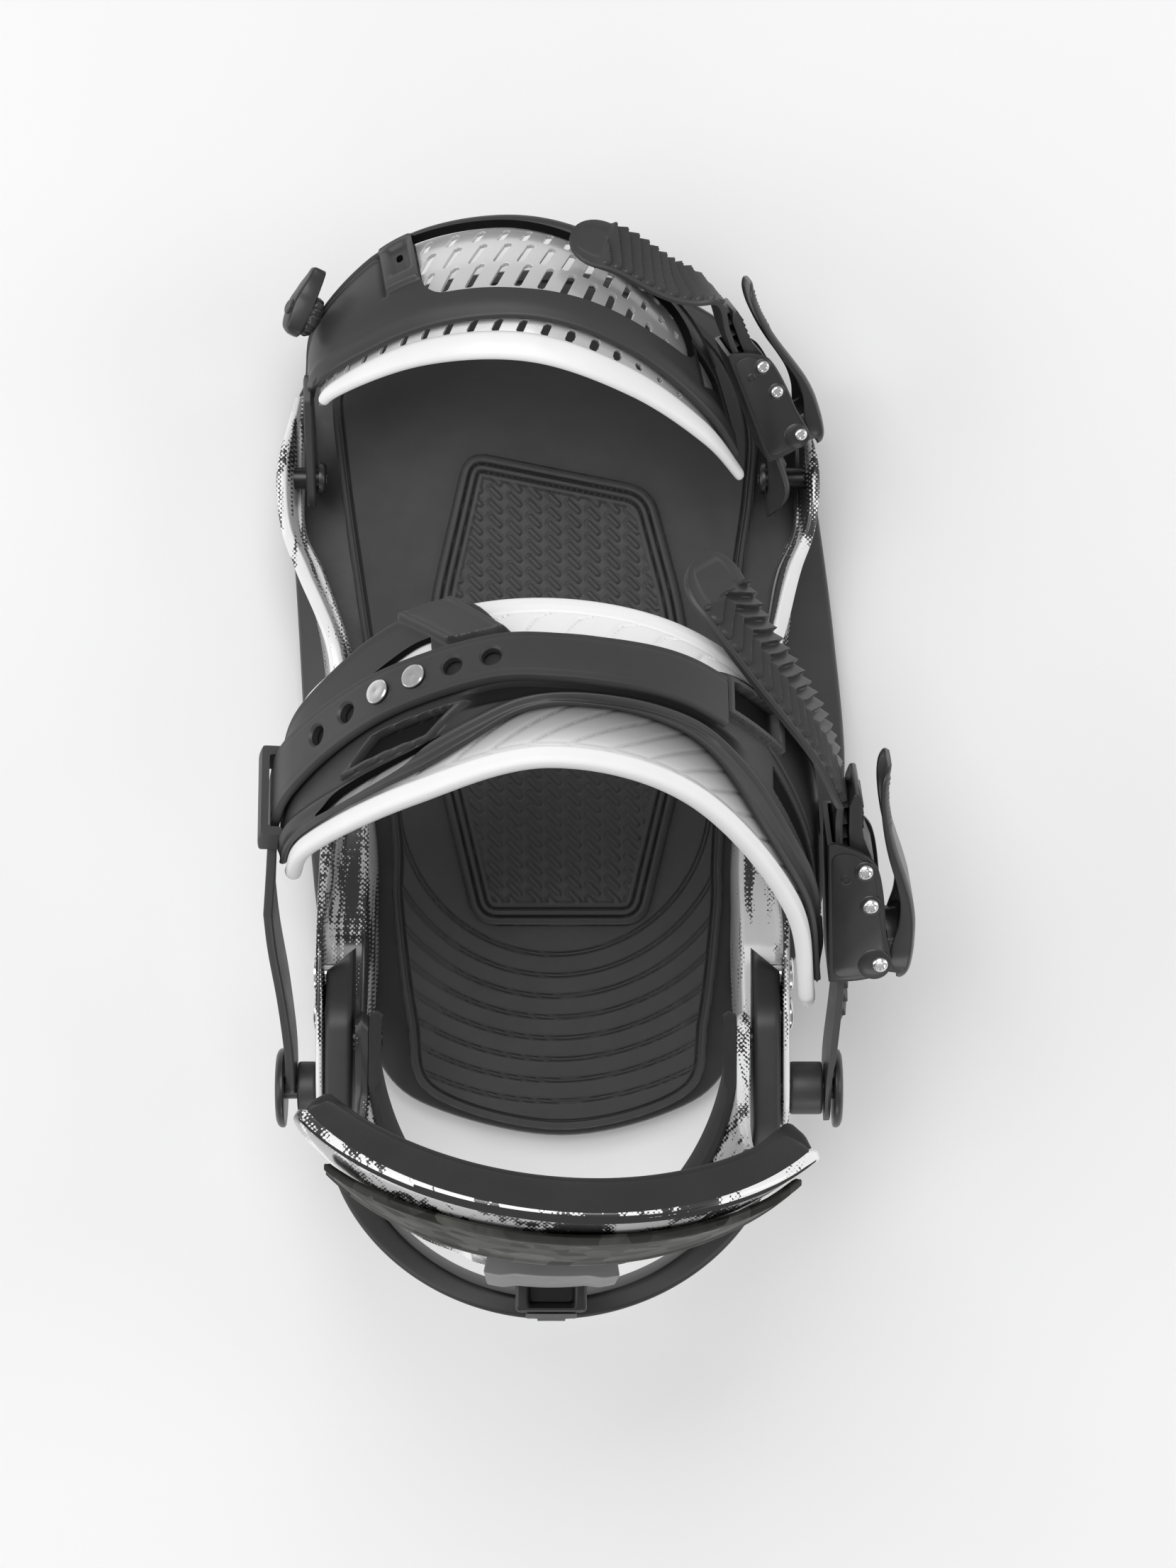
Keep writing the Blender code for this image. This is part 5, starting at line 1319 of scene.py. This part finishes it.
def ring_of(section, at, axis, sides):
    """Ring round an axis from a closed (radius, distance) section, as vertices and faces."""
    axis, side, up = across(axis)
    verts = []
    for turn in 2 * math.pi * np.arange(sides) / sides:
        way = side * math.cos(turn) + up * math.sin(turn)
        verts += [np.asarray(at) + axis * along + way * radius for radius, along in section]
    return np.array(verts), wall_faces(sides, len(section), closed=True)


# ---------------------------------------------------------------- toe strap

TOE_HEEL_EDGE = (
    (-64, 78, 40), (-58, 84, 58), (-34, 91.5, 72), (-6, 92, 77), (20, 83.5, 73), (40, 71.5, 61), (51, 61, 45),
)
TOE_FRONT_EDGE = (
    (-64, 90, 38), (-60, 106, 46), (-40, 124, 50), (-12, 130, 50), (12, 124, 50), (32, 107, 48),
    (43.5, 85, 44),
)
TOE_CROWN = 6.0


def toe_surface(u, v):
    """Boot side of the toe strap: u from the inner side, v from the heel edge to the front."""
    heel, front = spline(TOE_HEEL_EDGE, u), spline(TOE_FRONT_EDGE, u)
    crown = TOE_CROWN * np.sin(np.pi * v) * np.sin(np.pi * u)
    return blend(heel, front, v[..., None]) + np.array((0, 0.5, 0.85)) * crown[..., None]


WEB_SLOT_PITCH = 0.038
# Middle and half length of each row of slots, as shares of the web's width
WEB_SLOT_ROWS = ((0.06, 0.05), (0.25, 0.09), (0.46, 0.105), (0.685, 0.105), (0.89, 0.065))


def make_toe_web():
    """Perforated cap: rows of round-ended slots that lean towards the outer side."""
    rows, cols = 561, 121
    s = np.linspace(0.08, 0.93, rows)[:, None] * np.ones(cols)
    t = np.linspace(0, 1, cols)[None, :] * np.ones((rows, 1))
    v = blend(0.13, 0.97, t)
    lean = 0.13 * np.clip(np.sin(np.pi * s), 0, 1) ** 0.8
    u = s + lean * (t - 0.5)
    sc = 0.25 * (s[:-1, :-1] + s[1:, :-1] + s[:-1, 1:] + s[1:, 1:])
    tc = 0.25 * (t[:-1, :-1] + t[1:, :-1] + t[:-1, 1:] + t[1:, 1:])

    def slots(s, t):
        hit = np.zeros(s.shape, bool)
        for number, (middle, half) in enumerate(WEB_SLOT_ROWS):
            phase = (s + WEB_SLOT_PITCH / 2 * (number % 2)) % WEB_SLOT_PITCH / WEB_SLOT_PITCH
            reach = half * blend(1.0, 0.4, ease((s - 0.66) / 0.12))
            past = np.clip((np.abs(t - middle) - reach) / 0.025 + 1, 0, 1)
            hit |= np.abs(phase - 0.5) < 0.165 * np.sqrt(1 - past**2)
        return hit & (s > 0.115) & (s < 0.85)

    sheet("toe_cap_web", toe_surface, u, v, 0.15, 1.35, WEB, "toe_web", keep=~slots(sc, tc), bevel=0.15)


def make_toe_trim():
    """White edge band, its ends rounded."""
    first, last, middle, half = 0.105, 0.996, 0.06, 0.085

    def reach(u):
        from_end = np.minimum(u - first, last - u) / 0.022
        return half * np.sqrt(np.clip(1 - (1 - np.clip(from_end, 0, 1)) ** 2, 0.04, 1))

    u, v, t = grid((first, last), lambda u: middle - reach(u), lambda u: middle + reach(u), 260, 24)
    outer = 1.9 + 0.7 * np.sin(np.pi * t) ** 0.7
    sheet("toe_white_trim", toe_edge_surface, u, v, 0.0, outer, WHITE_TRIM, "toe_trim", rim=1.4)


def toe_edge_surface(u, v):
    """The toe strap's surface, carried straight on past its heel edge."""
    zero = np.zeros_like(v)
    slope = (toe_surface(u, zero + 0.02) - toe_surface(u, zero)) / 0.02
    beyond = toe_surface(u, zero) + slope * np.minimum(v, 0)[..., None]
    return np.where((v < 0)[..., None], beyond, toe_surface(u, np.maximum(v, 0)))


TOE_FRAME_LOW = (
    (0.0, 0.5), (0.05, 0.4), (0.1, 0.24), (0.14, 0.175), (0.25, 0.165), (0.35, 0.185), (0.5, 0.205),
    (0.6, 0.215), (0.7, 0.205), (0.82, 0.175), (0.9, 0.14), (0.95, 0.1),
)


def make_toe_frame():
    """Frame round the web: a rim over the front, a bar along the heel side, a sunk block."""
    u, v, _ = grid((0.0, 0.95), lambda u: curve(TOE_FRAME_LOW, u), 1.0, 380, 130)
    inner, base = TOE_FRAME_LAYER
    # Block with a hollow at the window's inner end
    block = inside(u, 0.298, 0.352, 0.008) * inside(v, 0.53, 0.965, 0.035)
    hollow = inside(u, 0.312, 0.342, 0.012) * inside(v, 0.62, 0.9, 0.05)
    notch = line(u, 0.294, 0.01) * inside(v, 0.5, 0.98, 0.03)
    rim = inside(v, 0.955, 1.2, 0.02) + 0.6 * line(v, 0.9, 0.03) * inside(u, 0.0, 0.3, 0.06)
    bar = line(v, curve(((0.0, 0.4), (0.25, 0.3), (0.5, 0.29), (0.8, 0.28), (0.95, 0.28)), u), 0.13)
    slot = line(v, curve(((0.0, 0.2), (0.2, 0.24)), u), 0.03) * inside(u, 0.03, 0.14, 0.02)
    end = line(v, 0.3, 0.04) * inside(u, 0.89, 0.925, 0.01)
    ledge = 0.5 * inside(u, 0.832, 0.925, 0.008) * inside(v, 0.33, 0.7, 0.02)
    outer = base - 0.6 + 0.55 * rim + 0.3 * bar + 1.3 * block - 1.5 * hollow
    outer = outer - 0.6 * notch - 0.6 * slot - 0.4 * end - ledge
    # The frame material paints shade where the frame is thin, in the hollow and the sunk ledge
    body = sheet(
        "toe_exoframe", toe_surface, u, v, inner, outer, FRAME_BLACK, "toe_frame", rim=1.1, full=3.8,
    )
    # Window over the web, its outer end rounded and its inner heel corner cut back
    first, last = 0.352, 0.835

    def low(u):
        start = 0.17 * (1 - round_edge((u - first) / 0.035))
        end = 0.2 * (1 - round_edge((last - u) / 0.05))
        return curve(((0.3, 0.39), (0.5, 0.375), (0.62, 0.405), (0.72, 0.41), (0.82, 0.46)), u) + start + end

    def high(u):
        end = 0.16 * (1 - round_edge((last - u) / 0.04))
        return curve(((0.3, 0.955), (0.5, 0.945), (0.62, 0.9), (0.75, 0.87), (0.84, 0.86)), u) - end

    def inset_low(u):
        return 0.37 + 2.4 * (u - 0.845)

    slit = ((0.327, 0.74, 0.3), (0.327, 0.755, 0.9), (0.327, 0.8, 0.9), (0.327, 0.815, 0.3))
    depth = inner - 1, base + 4
    cutters = [
        patch_cutter(toe_surface, *grid((first, last), low, high, 120, 16)[:2], *depth),
        patch_cutter(toe_surface, *grid((0.845, 0.912), inset_low, 0.66, 12, 8)[:2], *depth),
        ribbon_cutter(toe_surface, slit, *depth, 12),
    ]
    cut(body, joined(*cutters))
    dent_u, dent_v, _ = grid((0.842, 0.913), 0.35, 0.68, 20, 24)
    sheet("toe_inset_plate", toe_surface, dent_u, dent_v, 2.0, 2.6, WEB, (), rides="toe_frame")
    # Anchor tab down to the inner bolt
    eye = TOE_PIVOT[1:]
    outline = rounded([*arc(eye, 8.0, 130, 320, 20), (90, 40), (91, 45), (83, 46)], 1.0, 3)
    levels = ((-68.5, 0.96), (-68.1, 1.0), (-66.5, 1.0), (-66.1, 0.96))
    rings = [[(x, *(eye + (p - eye) * k)) for p in outline] for x, k in levels]
    tab = loft("toe_anchor_tab", rings, STRAP_BLACK, (), rides="toe_frame")
    cut(tab, turned_mesh(((3.3, -72), (3.3, -62)), (0, *eye), (1, 0, 0), 28))


KNOB_UV = (0.165, 0.84)


def make_toe_knob():
    """Ribbed thumb wheel with a wing."""
    place, out = spot(toe_surface, *KNOB_UV)
    low = TOE_FRAME_LAYER[1] + 1.2
    profile = (
        (4.4, low), (5.0, low + 0.3, 0.25), (5.3, low + 0.8, 0.35), (5.3, low + 2.5, 0.35),
        (5.0, low + 3.0, 0.25), (4.4, low + 3.4), (3.4, low + 3.8),
    )
    wheel = turned_mesh(profile, place, out, 120, lobes=16)
    ahead = np.array((0, 1, 0.15))
    ahead = unit(ahead - out * (out @ ahead))
    side = np.cross(out, ahead)
    # Wing: distance from the wheel's middle, half width, height
    keys = (
        (-6.8, 1.6, 5.6), (-6.2, 2.6, 6.5), (-5, 3.6, 7.4), (-2, 4.2, 8.0), (2, 4.2, 8.3), (6, 3.7, 7.7),
        (9.5, 3.1, 7.0), (12.0, 2.4, 6.6), (12.7, 1.6, 6.0),
    )
    rings = []
    for k in np.linspace(0, 1, 40):
        reach, half, height = spline(keys, k)
        pinch = 0.25 * math.sin(8 * math.pi * k) * (k > 0.55)
        crest = (half - pinch) * 0.62
        section = rounded(((-half, 3.0), (half, 3.0), (crest, height), (-crest, height)), 0.8, 3)
        rings.append([place + out * (low + b) + ahead * reach + side * a for a, b in section])
    hub_profile = ((2.2, low + 7.6), (2.2, low + 8.5), (1.7, low + 8.8), (0.6, low + 8.6))
    hub = turned_mesh(hub_profile, place, out, 24)
    piece("toe_thumb_wheel", *joined(wheel, loft_mesh(rings), hub), BUCKLE_BLACK, "toe_knob", angle=45)


def make_toe_bolts():
    for side, name, inner, outer in ((-1, "inner", 63.4, 73.4), (1, "outer", 57.0, 70.4)):
        profile = (
            (0.5, inner + 0.9), (1.8, inner + 0.7, 0.2), (2.2, inner, 0.25), (3.4, inner),
            (4.1, inner + 0.3), (4.4, inner + 0.8), (4.4, inner + 1.8), (3.0, inner + 1.8),
            (3.0, outer - 0.6), (2.4, outer),
        )
        at = (0, *TOE_PIVOT[1:])
        turned(f"toe_screw_{name}", profile, at, (side, 0, 0), BLACK_STEEL, f"toe_bolt_{name}")


# ---------------------------------------------------------------- ratchets

LADDER_HALF_W = 11.0
LADDER_PITCH = 4.0
WALL_IN, WALL_OUT = 12.6, 14.4


class Ratchet:
    """Place of a ratchet: l runs along its ladder to the free tip, n outwards, w across."""

    def __init__(self, kind, at, along, out, scale):
        self.kind = kind
        self.at = np.array(at, float)
        self.l = unit(along)
        out = np.array(out, float)
        self.n = unit(out - self.l * (out @ self.l))
        self.w = np.cross(self.n, self.l)
        self.scale = scale

    def point(self, l, n, w):
        return self.at + (self.l * l + self.n * n + self.w * w) * self.scale


ANKLE_RATCHET = Ratchet("ankle", (77.0, -50.0, 74.5), (-0.03, 0.915, 0.402), (1, 0, 0), 1.0)
TOE_RATCHET = Ratchet("toe", (54.6, 84.6, 48.0), (-0.36, 0.868, 0.342), (0.924, 0.383, 0.0), 0.8)

LEVER_PIN = (-14.4, 9.4)
MIDDLE_RIVET = (2.7, 7.0)
FRONT_RIVET = (12.6, 5.6)


def slab_mesh(ratchet, outline, low_w, high_w, edge=0.35):
    """Plate with its outline along and out of the ladder, its rims slightly rounded."""
    outline = np.asarray(outline, float)
    middle = outline.mean(axis=0)
    reach = np.abs(outline - middle).max()
    shrink = 1 - edge / reach
    levels = ((low_w, shrink), (low_w + edge * 0.3, 1 - edge * 0.3 / reach), (low_w + edge, 1.0))
    levels += ((high_w - edge, 1.0), (high_w - edge * 0.3, 1 - edge * 0.3 / reach), (high_w, shrink))
    rings = [[ratchet.point(*(middle + (p - middle) * k), w) for p in outline] for w, k in levels]
    return loft_mesh(rings)


def pin_mesh(ratchet, place, profile, sides=32):
    scaled = [tuple(size * ratchet.scale for size in row) for row in profile]
    return turned_mesh(scaled, ratchet.point(*place, 0), ratchet.w, sides)


CHEEK_PLATE = (
    (-18.2, -3.0), (17.6, -3.2), (18.0, 2.6), (12.5, 8.0), (-3, 9.6), (-13, 11.2), (-17.6, 8.5),
)


def make_channel(r):
    """The buckle's floor and side walls, with a raised plate and a boss round each rivet."""
    keys = (
        (-19.5, 1.5), (-19.2, 5.0), (-18.2, 9.0), (-16.4, 11.6), (-14.4, 12.5), (-11.5, 12.1), (-6.0, 11.2),
        (0.0, 10.9), (6.0, 10.4), (11.0, 9.6), (14.5, 8.3), (17.2, 5.6), (19.2, 1.6), (20.4, -1.6),
    )
    rings = []
    for k in np.linspace(0, 1, 70):
        l, height = spline(keys, k)
        section = (
            (-WALL_OUT, -4.2), (WALL_OUT, -4.2), (WALL_OUT, height), (WALL_IN, height),
            (WALL_IN, -2.9), (-WALL_IN, -2.9), (-WALL_IN, height), (-WALL_OUT, height),
        )
        rings.append([r.point(l, n, w) for w, n in rounded(section, 0.6, 3)])
    parts = [loft_mesh(rings)]
    for side in (-1, 1):
        face = side * WALL_OUT
        low, high = sorted((face - side * 0.2, face + side * 0.45))
        parts.append(slab_mesh(r, rounded(CHEEK_PLATE, 3.0, 5), low, high, 0.3))
        for (l, n), radius in ((LEVER_PIN, 4.4), (MIDDLE_RIVET, 3.0), (FRONT_RIVET, 2.9)):
            reach = face + side * 0.75
            boss = [(radius, face * 0.98), (radius, reach - side * 0.25), (radius - 0.3, reach), (0.8, reach)]
            parts.append(pin_mesh(r, (l, min(n, 7.9 if radius > 4 else n)), boss))
        # Dark screw beside the rivets
        dot = ((1.5, 0), (1.5, 0.55), (1.1, 0.7), (0.9, 0.3), (0.3, 0.3))
        parts.append(pin_mesh(r, (10.5, 0.6), [(radius, face + side * rise) for radius, rise in dot], 20))
    verts, faces = joined(*parts)
    piece(f"{r.kind}_buckle_channel", verts, faces, BUCKLE_BLACK, f"{r.kind}_buckle_body", angle=42)


def make_rivets(r):
    """Bright rivets with domed, dimpled heads."""
    half = WALL_OUT + 0.6
    for name, place in (("lever_pin", LEVER_PIN), ("pawl_pin", MIDDLE_RIVET), ("release_pin", FRONT_RIVET)):
        head = (
            (1.45, -0.2), (2.15, -0.2), (2.15, 0.35), (1.9, 0.8), (1.4, 1.05), (1.0, 0.55, 0.12),
            (0.5, 0.5),
        )
        profile = [(radius, -half - rise, *lobe) for radius, rise, *lobe in head[::-1]]
        profile += [(radius, half + rise, *lobe) for radius, rise, *lobe in head]
        verts, faces = pin_mesh(r, place, profile)
        piece(f"{r.kind}_{name}_rivet", verts, faces, STEEL, f"{r.kind}_{name}")


def make_lever(r):
    """Lever: a curved skin with side cheeks, lugs round its pin, and a ribbed finger tip."""
    # Along the ladder, skin's outer face, thickness, half width, depth of the cheeks
    keys = (
        (-22.0, 15.6, 1.2, 7.0, 1.4), (-21.0, 16.6, 1.8, 9.4, 2.2), (-18.5, 17.7, 2.2, 11.4, 4.2),
        (-14.5, 18.5, 2.3, 12.2, 6.4), (-10, 19.0, 2.3, 12.2, 6.2), (-4, 19.2, 2.3, 12.2, 4.6),
        (2, 18.5, 2.2, 12.2, 3.6), (8, 17.0, 2.1, 12.2, 3.2), (14, 15.2, 2.1, 12.0, 3.0),
        (20, 13.6, 2.0, 11.5, 2.6), (26, 12.5, 1.9, 11.0, 2.2), (31, 12.1, 1.8, 10.4, 2.0),
        (35, 12.4, 1.7, 9.6, 1.9), (37.5, 13.0, 1.5, 8.4, 1.6), (38.6, 13.3, 1.1, 6.8, 1.2),
    )
    rings = []
    for k in np.linspace(0, 1, 110):
        l, high, thick, half, cheek = spline(keys, k)
        rib = 0.45 * math.sin(2 * math.pi * l / 2.6) ** 2 * (22 < l < 36)
        wall = 1.5
        section = (
            (-half, high - cheek), (-half, high - 1.0), (-half * 0.8, high - 0.05 + rib), (0, high + rib),
            (half * 0.8, high - 0.05 + rib), (half, high - 1.0), (half, high - cheek),
            (half - wall, high - cheek),
            (half - wall, high - thick), (-half + wall, high - thick), (-half + wall, high - cheek),
        )
        rings.append([r.point(l, n, w) for w, n in rounded(section, 0.6, 2)])
    parts = [loft_mesh(rings)]
    for side in (-1, 1):
        lug = [*arc(LEVER_PIN, 3.6, 190, 350, 24), (-9.0, 14.8), (-9.4, 16.2), (-18.4, 16.2), (-18.9, 14.8)]
        low, high = sorted((side * 8.9, side * 11.7))
        parts.append(slab_mesh(r, lug, low, high, 0.4))
        rail = rounded(((-8, 17.5), (6, 16.9), (16, 13.9), (16, 12.7), (6, 15.4), (-8, 16.2)), 0.5, 3)
        low, high = sorted((side * 5.6, side * 6.8))
        parts.append(slab_mesh(r, rail, low, high, 0.2))
    verts, faces = joined(*parts)
    piece(f"{r.kind}_lever_arm", verts, faces, BUCKLE_BLACK, f"{r.kind}_lever", angle=45)


def make_spring(r):
    """Torsion spring round the lever's pin, its two ends running out as short legs."""
    turns, coil_r, wire_r, length = 3.5, 2.7, 0.42, 9.0
    count = 120
    k = np.arange(count + 1) / count
    angle = 2 * math.pi * turns * k
    round_pin = np.stack([np.cos(angle), np.sin(angle)], axis=-1) * coil_r + LEVER_PIN
    centre = np.column_stack([round_pin, length * (k - 0.5)])
    rings = []
    for a, (l, n, w) in zip(angle, centre):
        ring = []
        for m in np.linspace(0, 2 * math.pi, 12, endpoint=False):
            reach = wire_r * math.cos(m)
            ring.append(r.point(l + reach * math.cos(a), n + reach * math.sin(a), w + wire_r * math.sin(m)))
        rings.append(ring)
    loft(f"{r.kind}_torsion_spring", rings, STEEL, f"{r.kind}_lever_spring", angle=60)


def make_pawl(r):
    """Two-toothed steel pawl on the middle rivet, and the release lever on the front one."""
    outline = [
        (-8.5, 2.2), (-8.2, 1.9), (-6.9, 1.9), (-6.2, 3.2), (-4.6, 2.4), (-2.6, 4.3), (0.5, 4.4),
        *arc(MIDDLE_RIVET, 3.0, -50, 120, 20), (-3, 8.4), (-8.2, 6.2), (-8.6, 5.6),
    ]
    verts, faces = slab_mesh(r, rounded(outline, 0.4, 2), -7.4, 7.4, 0.4)
    piece(f"{r.kind}_pawl_tooth", verts, faces, STEEL, f"{r.kind}_pawl")
    outline = rounded(
        [
            *arc(FRONT_RIVET, 2.9, 100, 250, 14), (16, 1.9), (22, 1.6), (30, 1.8), (33, 3.0), (33, 4.6),
            (30, 5.2), (25, 4.9), (20, 5.6),
        ],
        0.6, 2,
    )
    parts = [slab_mesh(r, outline, -10.7, 10.7, 0.5)]
    for l in (22.5, 24.5, 26.5, 28.5):
        rib = rounded(((l - 0.5, 4.4), (l + 0.5, 4.4), (l + 0.4, 5.7), (l - 0.4, 5.7)), 0.3, 2)
        parts.append(slab_mesh(r, rib, -8.6, 8.6, 0.3))
    piece(f"{r.kind}_release_tab", *joined(*parts), BUCKLE_BLACK, f"{r.kind}_release_lever", angle=42)


def ladder_grid(path, outs, scale, plain_start, plain_end, eye, chevron, slant):
    """Points and outward directions of a toothed strap, and its height above the base."""
    fine = np.linspace(0, 1, 1200)
    spots = spline(path, fine)
    lengths = np.concatenate([[0], np.cumsum(np.linalg.norm(np.diff(spots, axis=0), axis=1))])
    total = lengths[-1]
    d = np.linspace(0, total, int(total / 0.32))
    t = np.interp(d, lengths, fine)
    at = spline(path, t)
    along = unit(spline(path, np.minimum(t + 0.004, 1)) - spline(path, np.maximum(t - 0.004, 0)))
    out = spline(outs, t)
    out = unit(out - along * np.sum(out * along, axis=1)[:, None])
    wide = np.cross(out, along)
    half = np.full(len(d), LADDER_HALF_W * scale)
    to_tip = np.clip(total - d, 0, half)
    half = np.sqrt(np.clip(half**2 - (half - to_tip) ** 2, (0.12 * half) ** 2, None))
    full = LADDER_HALF_W * scale
    start = np.clip(d / (2 * eye), 0, 1)
    half = np.where(d < 2 * eye, blend(eye, full, ease(start)), half)
    end_round = round_edge(d / eye)
    half = half * np.maximum(end_round, 0.3)
    s = np.linspace(-1, 1, 41)
    across_mm = s[None, :] * half[:, None]
    points = at[:, None] + wide[:, None] * across_mm[..., None]
    normals = np.repeat(out[:, None], len(s), axis=1)
    pitch = LADDER_PITCH * scale
    run = d[:, None] - plain_start + chevron * (np.abs(across_mm) - 0.4 * full) + slant * across_mm
    phase = (run % pitch) / pitch
    tooth = np.clip(1 - (phase - 0.12) / 0.8, 0, 1) * ease(phase / 0.12)
    toothed = inside(d[:, None], plain_start, total - plain_end, 1.2) * inside(s[None, :], -1.2, 0.82, 0.05)
    rail = inside(s[None, :], 0.86, 2, 0.05) * inside(d[:, None], 0.6 * plain_start, total - plain_end, 4)
    tip = inside(d[:, None], total - plain_end + 1, total - 3, 2) * inside(np.abs(s)[None, :], -1, 0.62, 0.1)
    edge = round_edge((1 - np.abs(s)) / 0.1)[None, :]
    base = 1.6 * scale * blend(0.5, 1.0, edge)
    height = base + (1.75 * tooth * toothed + 0.35 * rail - 0.3 * tip) * scale
    return points, normals, height


def make_ladder(name, node, path, outs, scale, plain_start, plain_end, eye, bolt, chevron, slant):
    points, normals, height = ladder_grid(path, outs, scale, plain_start, plain_end, eye, chevron, slant)
    low = points + normals * (-1.9 * scale)
    high = low + normals * height[..., None]
    strap = solid(name, low, high, LADDER_BLACK, node, angle=30)
    cut(strap, turned_mesh(((3.3, -8), (3.3, 8)), bolt, (1, 0, 0), 28))


def ratchet_path(ratchet, root, tip, root_outs, tip_outs, reaches):
    run = [ratchet.point(l, 0, 0) for l in reaches]
    return [*root, *run, *tip], [*root_outs, *[ratchet.n] * len(run), *tip_outs]


def make_ladders():
    path, outs = ratchet_path(
        ANKLE_RATCHET,
        ((75.6, -112, 46.5), (75.6, -98.5, 52.6), (76.8, -84.8, 59.0)),
        ((70.8, -9, 97), (63.5, 1.5, 104), (55, 12.5, 109.5), (46.5, 25, 113), (38.5, 38, 113.5)),
        ((1, 0, 0), (1, 0, 0), (1, 0, 0)),
        ((0.95, 0.2, 0.25), (0.85, 0.3, 0.45), (0.75, 0.35, 0.55), (0.65, 0.35, 0.65), (0.5, 0.35, 0.75)),
        (-24, -12, 0, 12, 24, 32),
    )
    bolt = (74, *ANKLE_PIVOT[1:])
    make_ladder("ankle_ladder_strap", "ankle_ladder", path, outs, 1.0, 34, 12, 8, bolt, 0.55, 0.0)
    path, outs = ratchet_path(
        TOE_RATCHET,
        ((60.8, 60.5, 17), (61.0, 61.6, 27)),
        ((31.5, 115.5, 62.5), (18.5, 122.5, 66.0), (5, 127, 67.0)),
        ((1, 0, 0), (1, 0.02, 0)),
        ((0.55, 0.6, 0.6), (0.35, 0.6, 0.75), (0.2, 0.55, 0.8)),
        (-26, -13, 0, 13, 26, 39),
    )
    bolt = (61, *TOE_PIVOT[1:])
    make_ladder("toe_ladder_strap", "toe_ladder", path, outs, 0.8, 26, 10, 7, bolt, 0.0, 0.3)


# ---------------------------------------------------------------- floor, light and camera

# Metres: half the floor's side, and how far it lies below the board plane
FLOOR_REACH = 14.0
FLOOR_GAP = 0.0004


def make_stage():
    floor = bpy.data.meshes.new("floor")
    corners = ((-1, -1), (1, -1), (1, 1), (-1, 1))
    places = [(x * FLOOR_REACH, y * FLOOR_REACH, -FLOOR_GAP) for x, y in corners]
    floor.from_pydata(places, [], [(0, 1, 2, 3)])
    obj = bpy.data.objects.new("floor", floor)
    bpy.context.scene.collection.objects.link(obj)
    shade = Shader("pale_floor", 0.9)
    shade.colour(shade.mix(shade.noise(4, 2), grey(0.86), grey(0.88)))
    floor.materials.append(shade.mat)
    world = bpy.data.worlds.new("studio")
    world.use_nodes = True
    world.node_tree.nodes["Background"].inputs["Color"].default_value = (1, 1, 1, 1)
    world.node_tree.nodes["Background"].inputs["Strength"].default_value = WORLD_LIGHT
    bpy.context.scene.world = world
    for name, place, aim, size, watts in LIGHTS:
        data = bpy.data.lights.new(name, "AREA")
        data.shape = "RECTANGLE"
        data.size, data.size_y = size
        data.energy = watts
        lamp = bpy.data.objects.new(name, data)
        lamp.location = place
        lamp.rotation_euler = (Vector(aim) - Vector(place)).to_track_quat("-Z", "Y").to_euler()
        bpy.context.scene.collection.objects.link(lamp)


WORLD_LIGHT = 0.42
LIGHTS = (
    ("key_above", (-0.25, 0.55, 1.7), (0, 0, 0.05), (1.3, 1.0), 16),
    ("side_inner", (-1.5, -0.2, 0.9), (0, 0, 0.08), (0.9, 1.4), 8),
    ("side_outer", (1.5, 0.1, 0.8), (0, 0, 0.08), (0.7, 1.4), 6),
    ("heel_rim", (0.2, -1.6, 0.7), (0, 0, 0.1), (1.4, 0.5), 6),
)

CAMERA_AT = (0.0095, -0.0212, 1.2)
CAMERA_LENS = 96.87
SENSOR_HEIGHT = 36.0


def make_camera():
    data = bpy.data.cameras.new("camera")
    data.sensor_fit = "VERTICAL"
    data.sensor_height = SENSOR_HEIGHT
    data.lens = CAMERA_LENS
    data.clip_start = 0.01
    camera = bpy.data.objects.new("camera", data)
    camera.location = CAMERA_AT
    bpy.context.scene.collection.objects.link(camera)
    bpy.context.scene.camera = camera


bpy.context.scene.view_settings.view_transform = "Standard"
for make in (
    make_camera, make_stage, make_baseplate, make_bushing, make_footbed, make_grip_pad, make_disc,
    make_hoop, make_highback, make_ankle_pad, make_ankle_frame, make_ankle_link, make_keeper,
    make_ankle_pivots, make_toe_web, make_toe_trim, make_toe_frame, make_toe_knob, make_toe_bolts,
):
    make()
for ratchet in (ANKLE_RATCHET, TOE_RATCHET):
    for make in (make_channel, make_rivets, make_lever, make_spring, make_pawl):
        make(ratchet)
make_ladders()
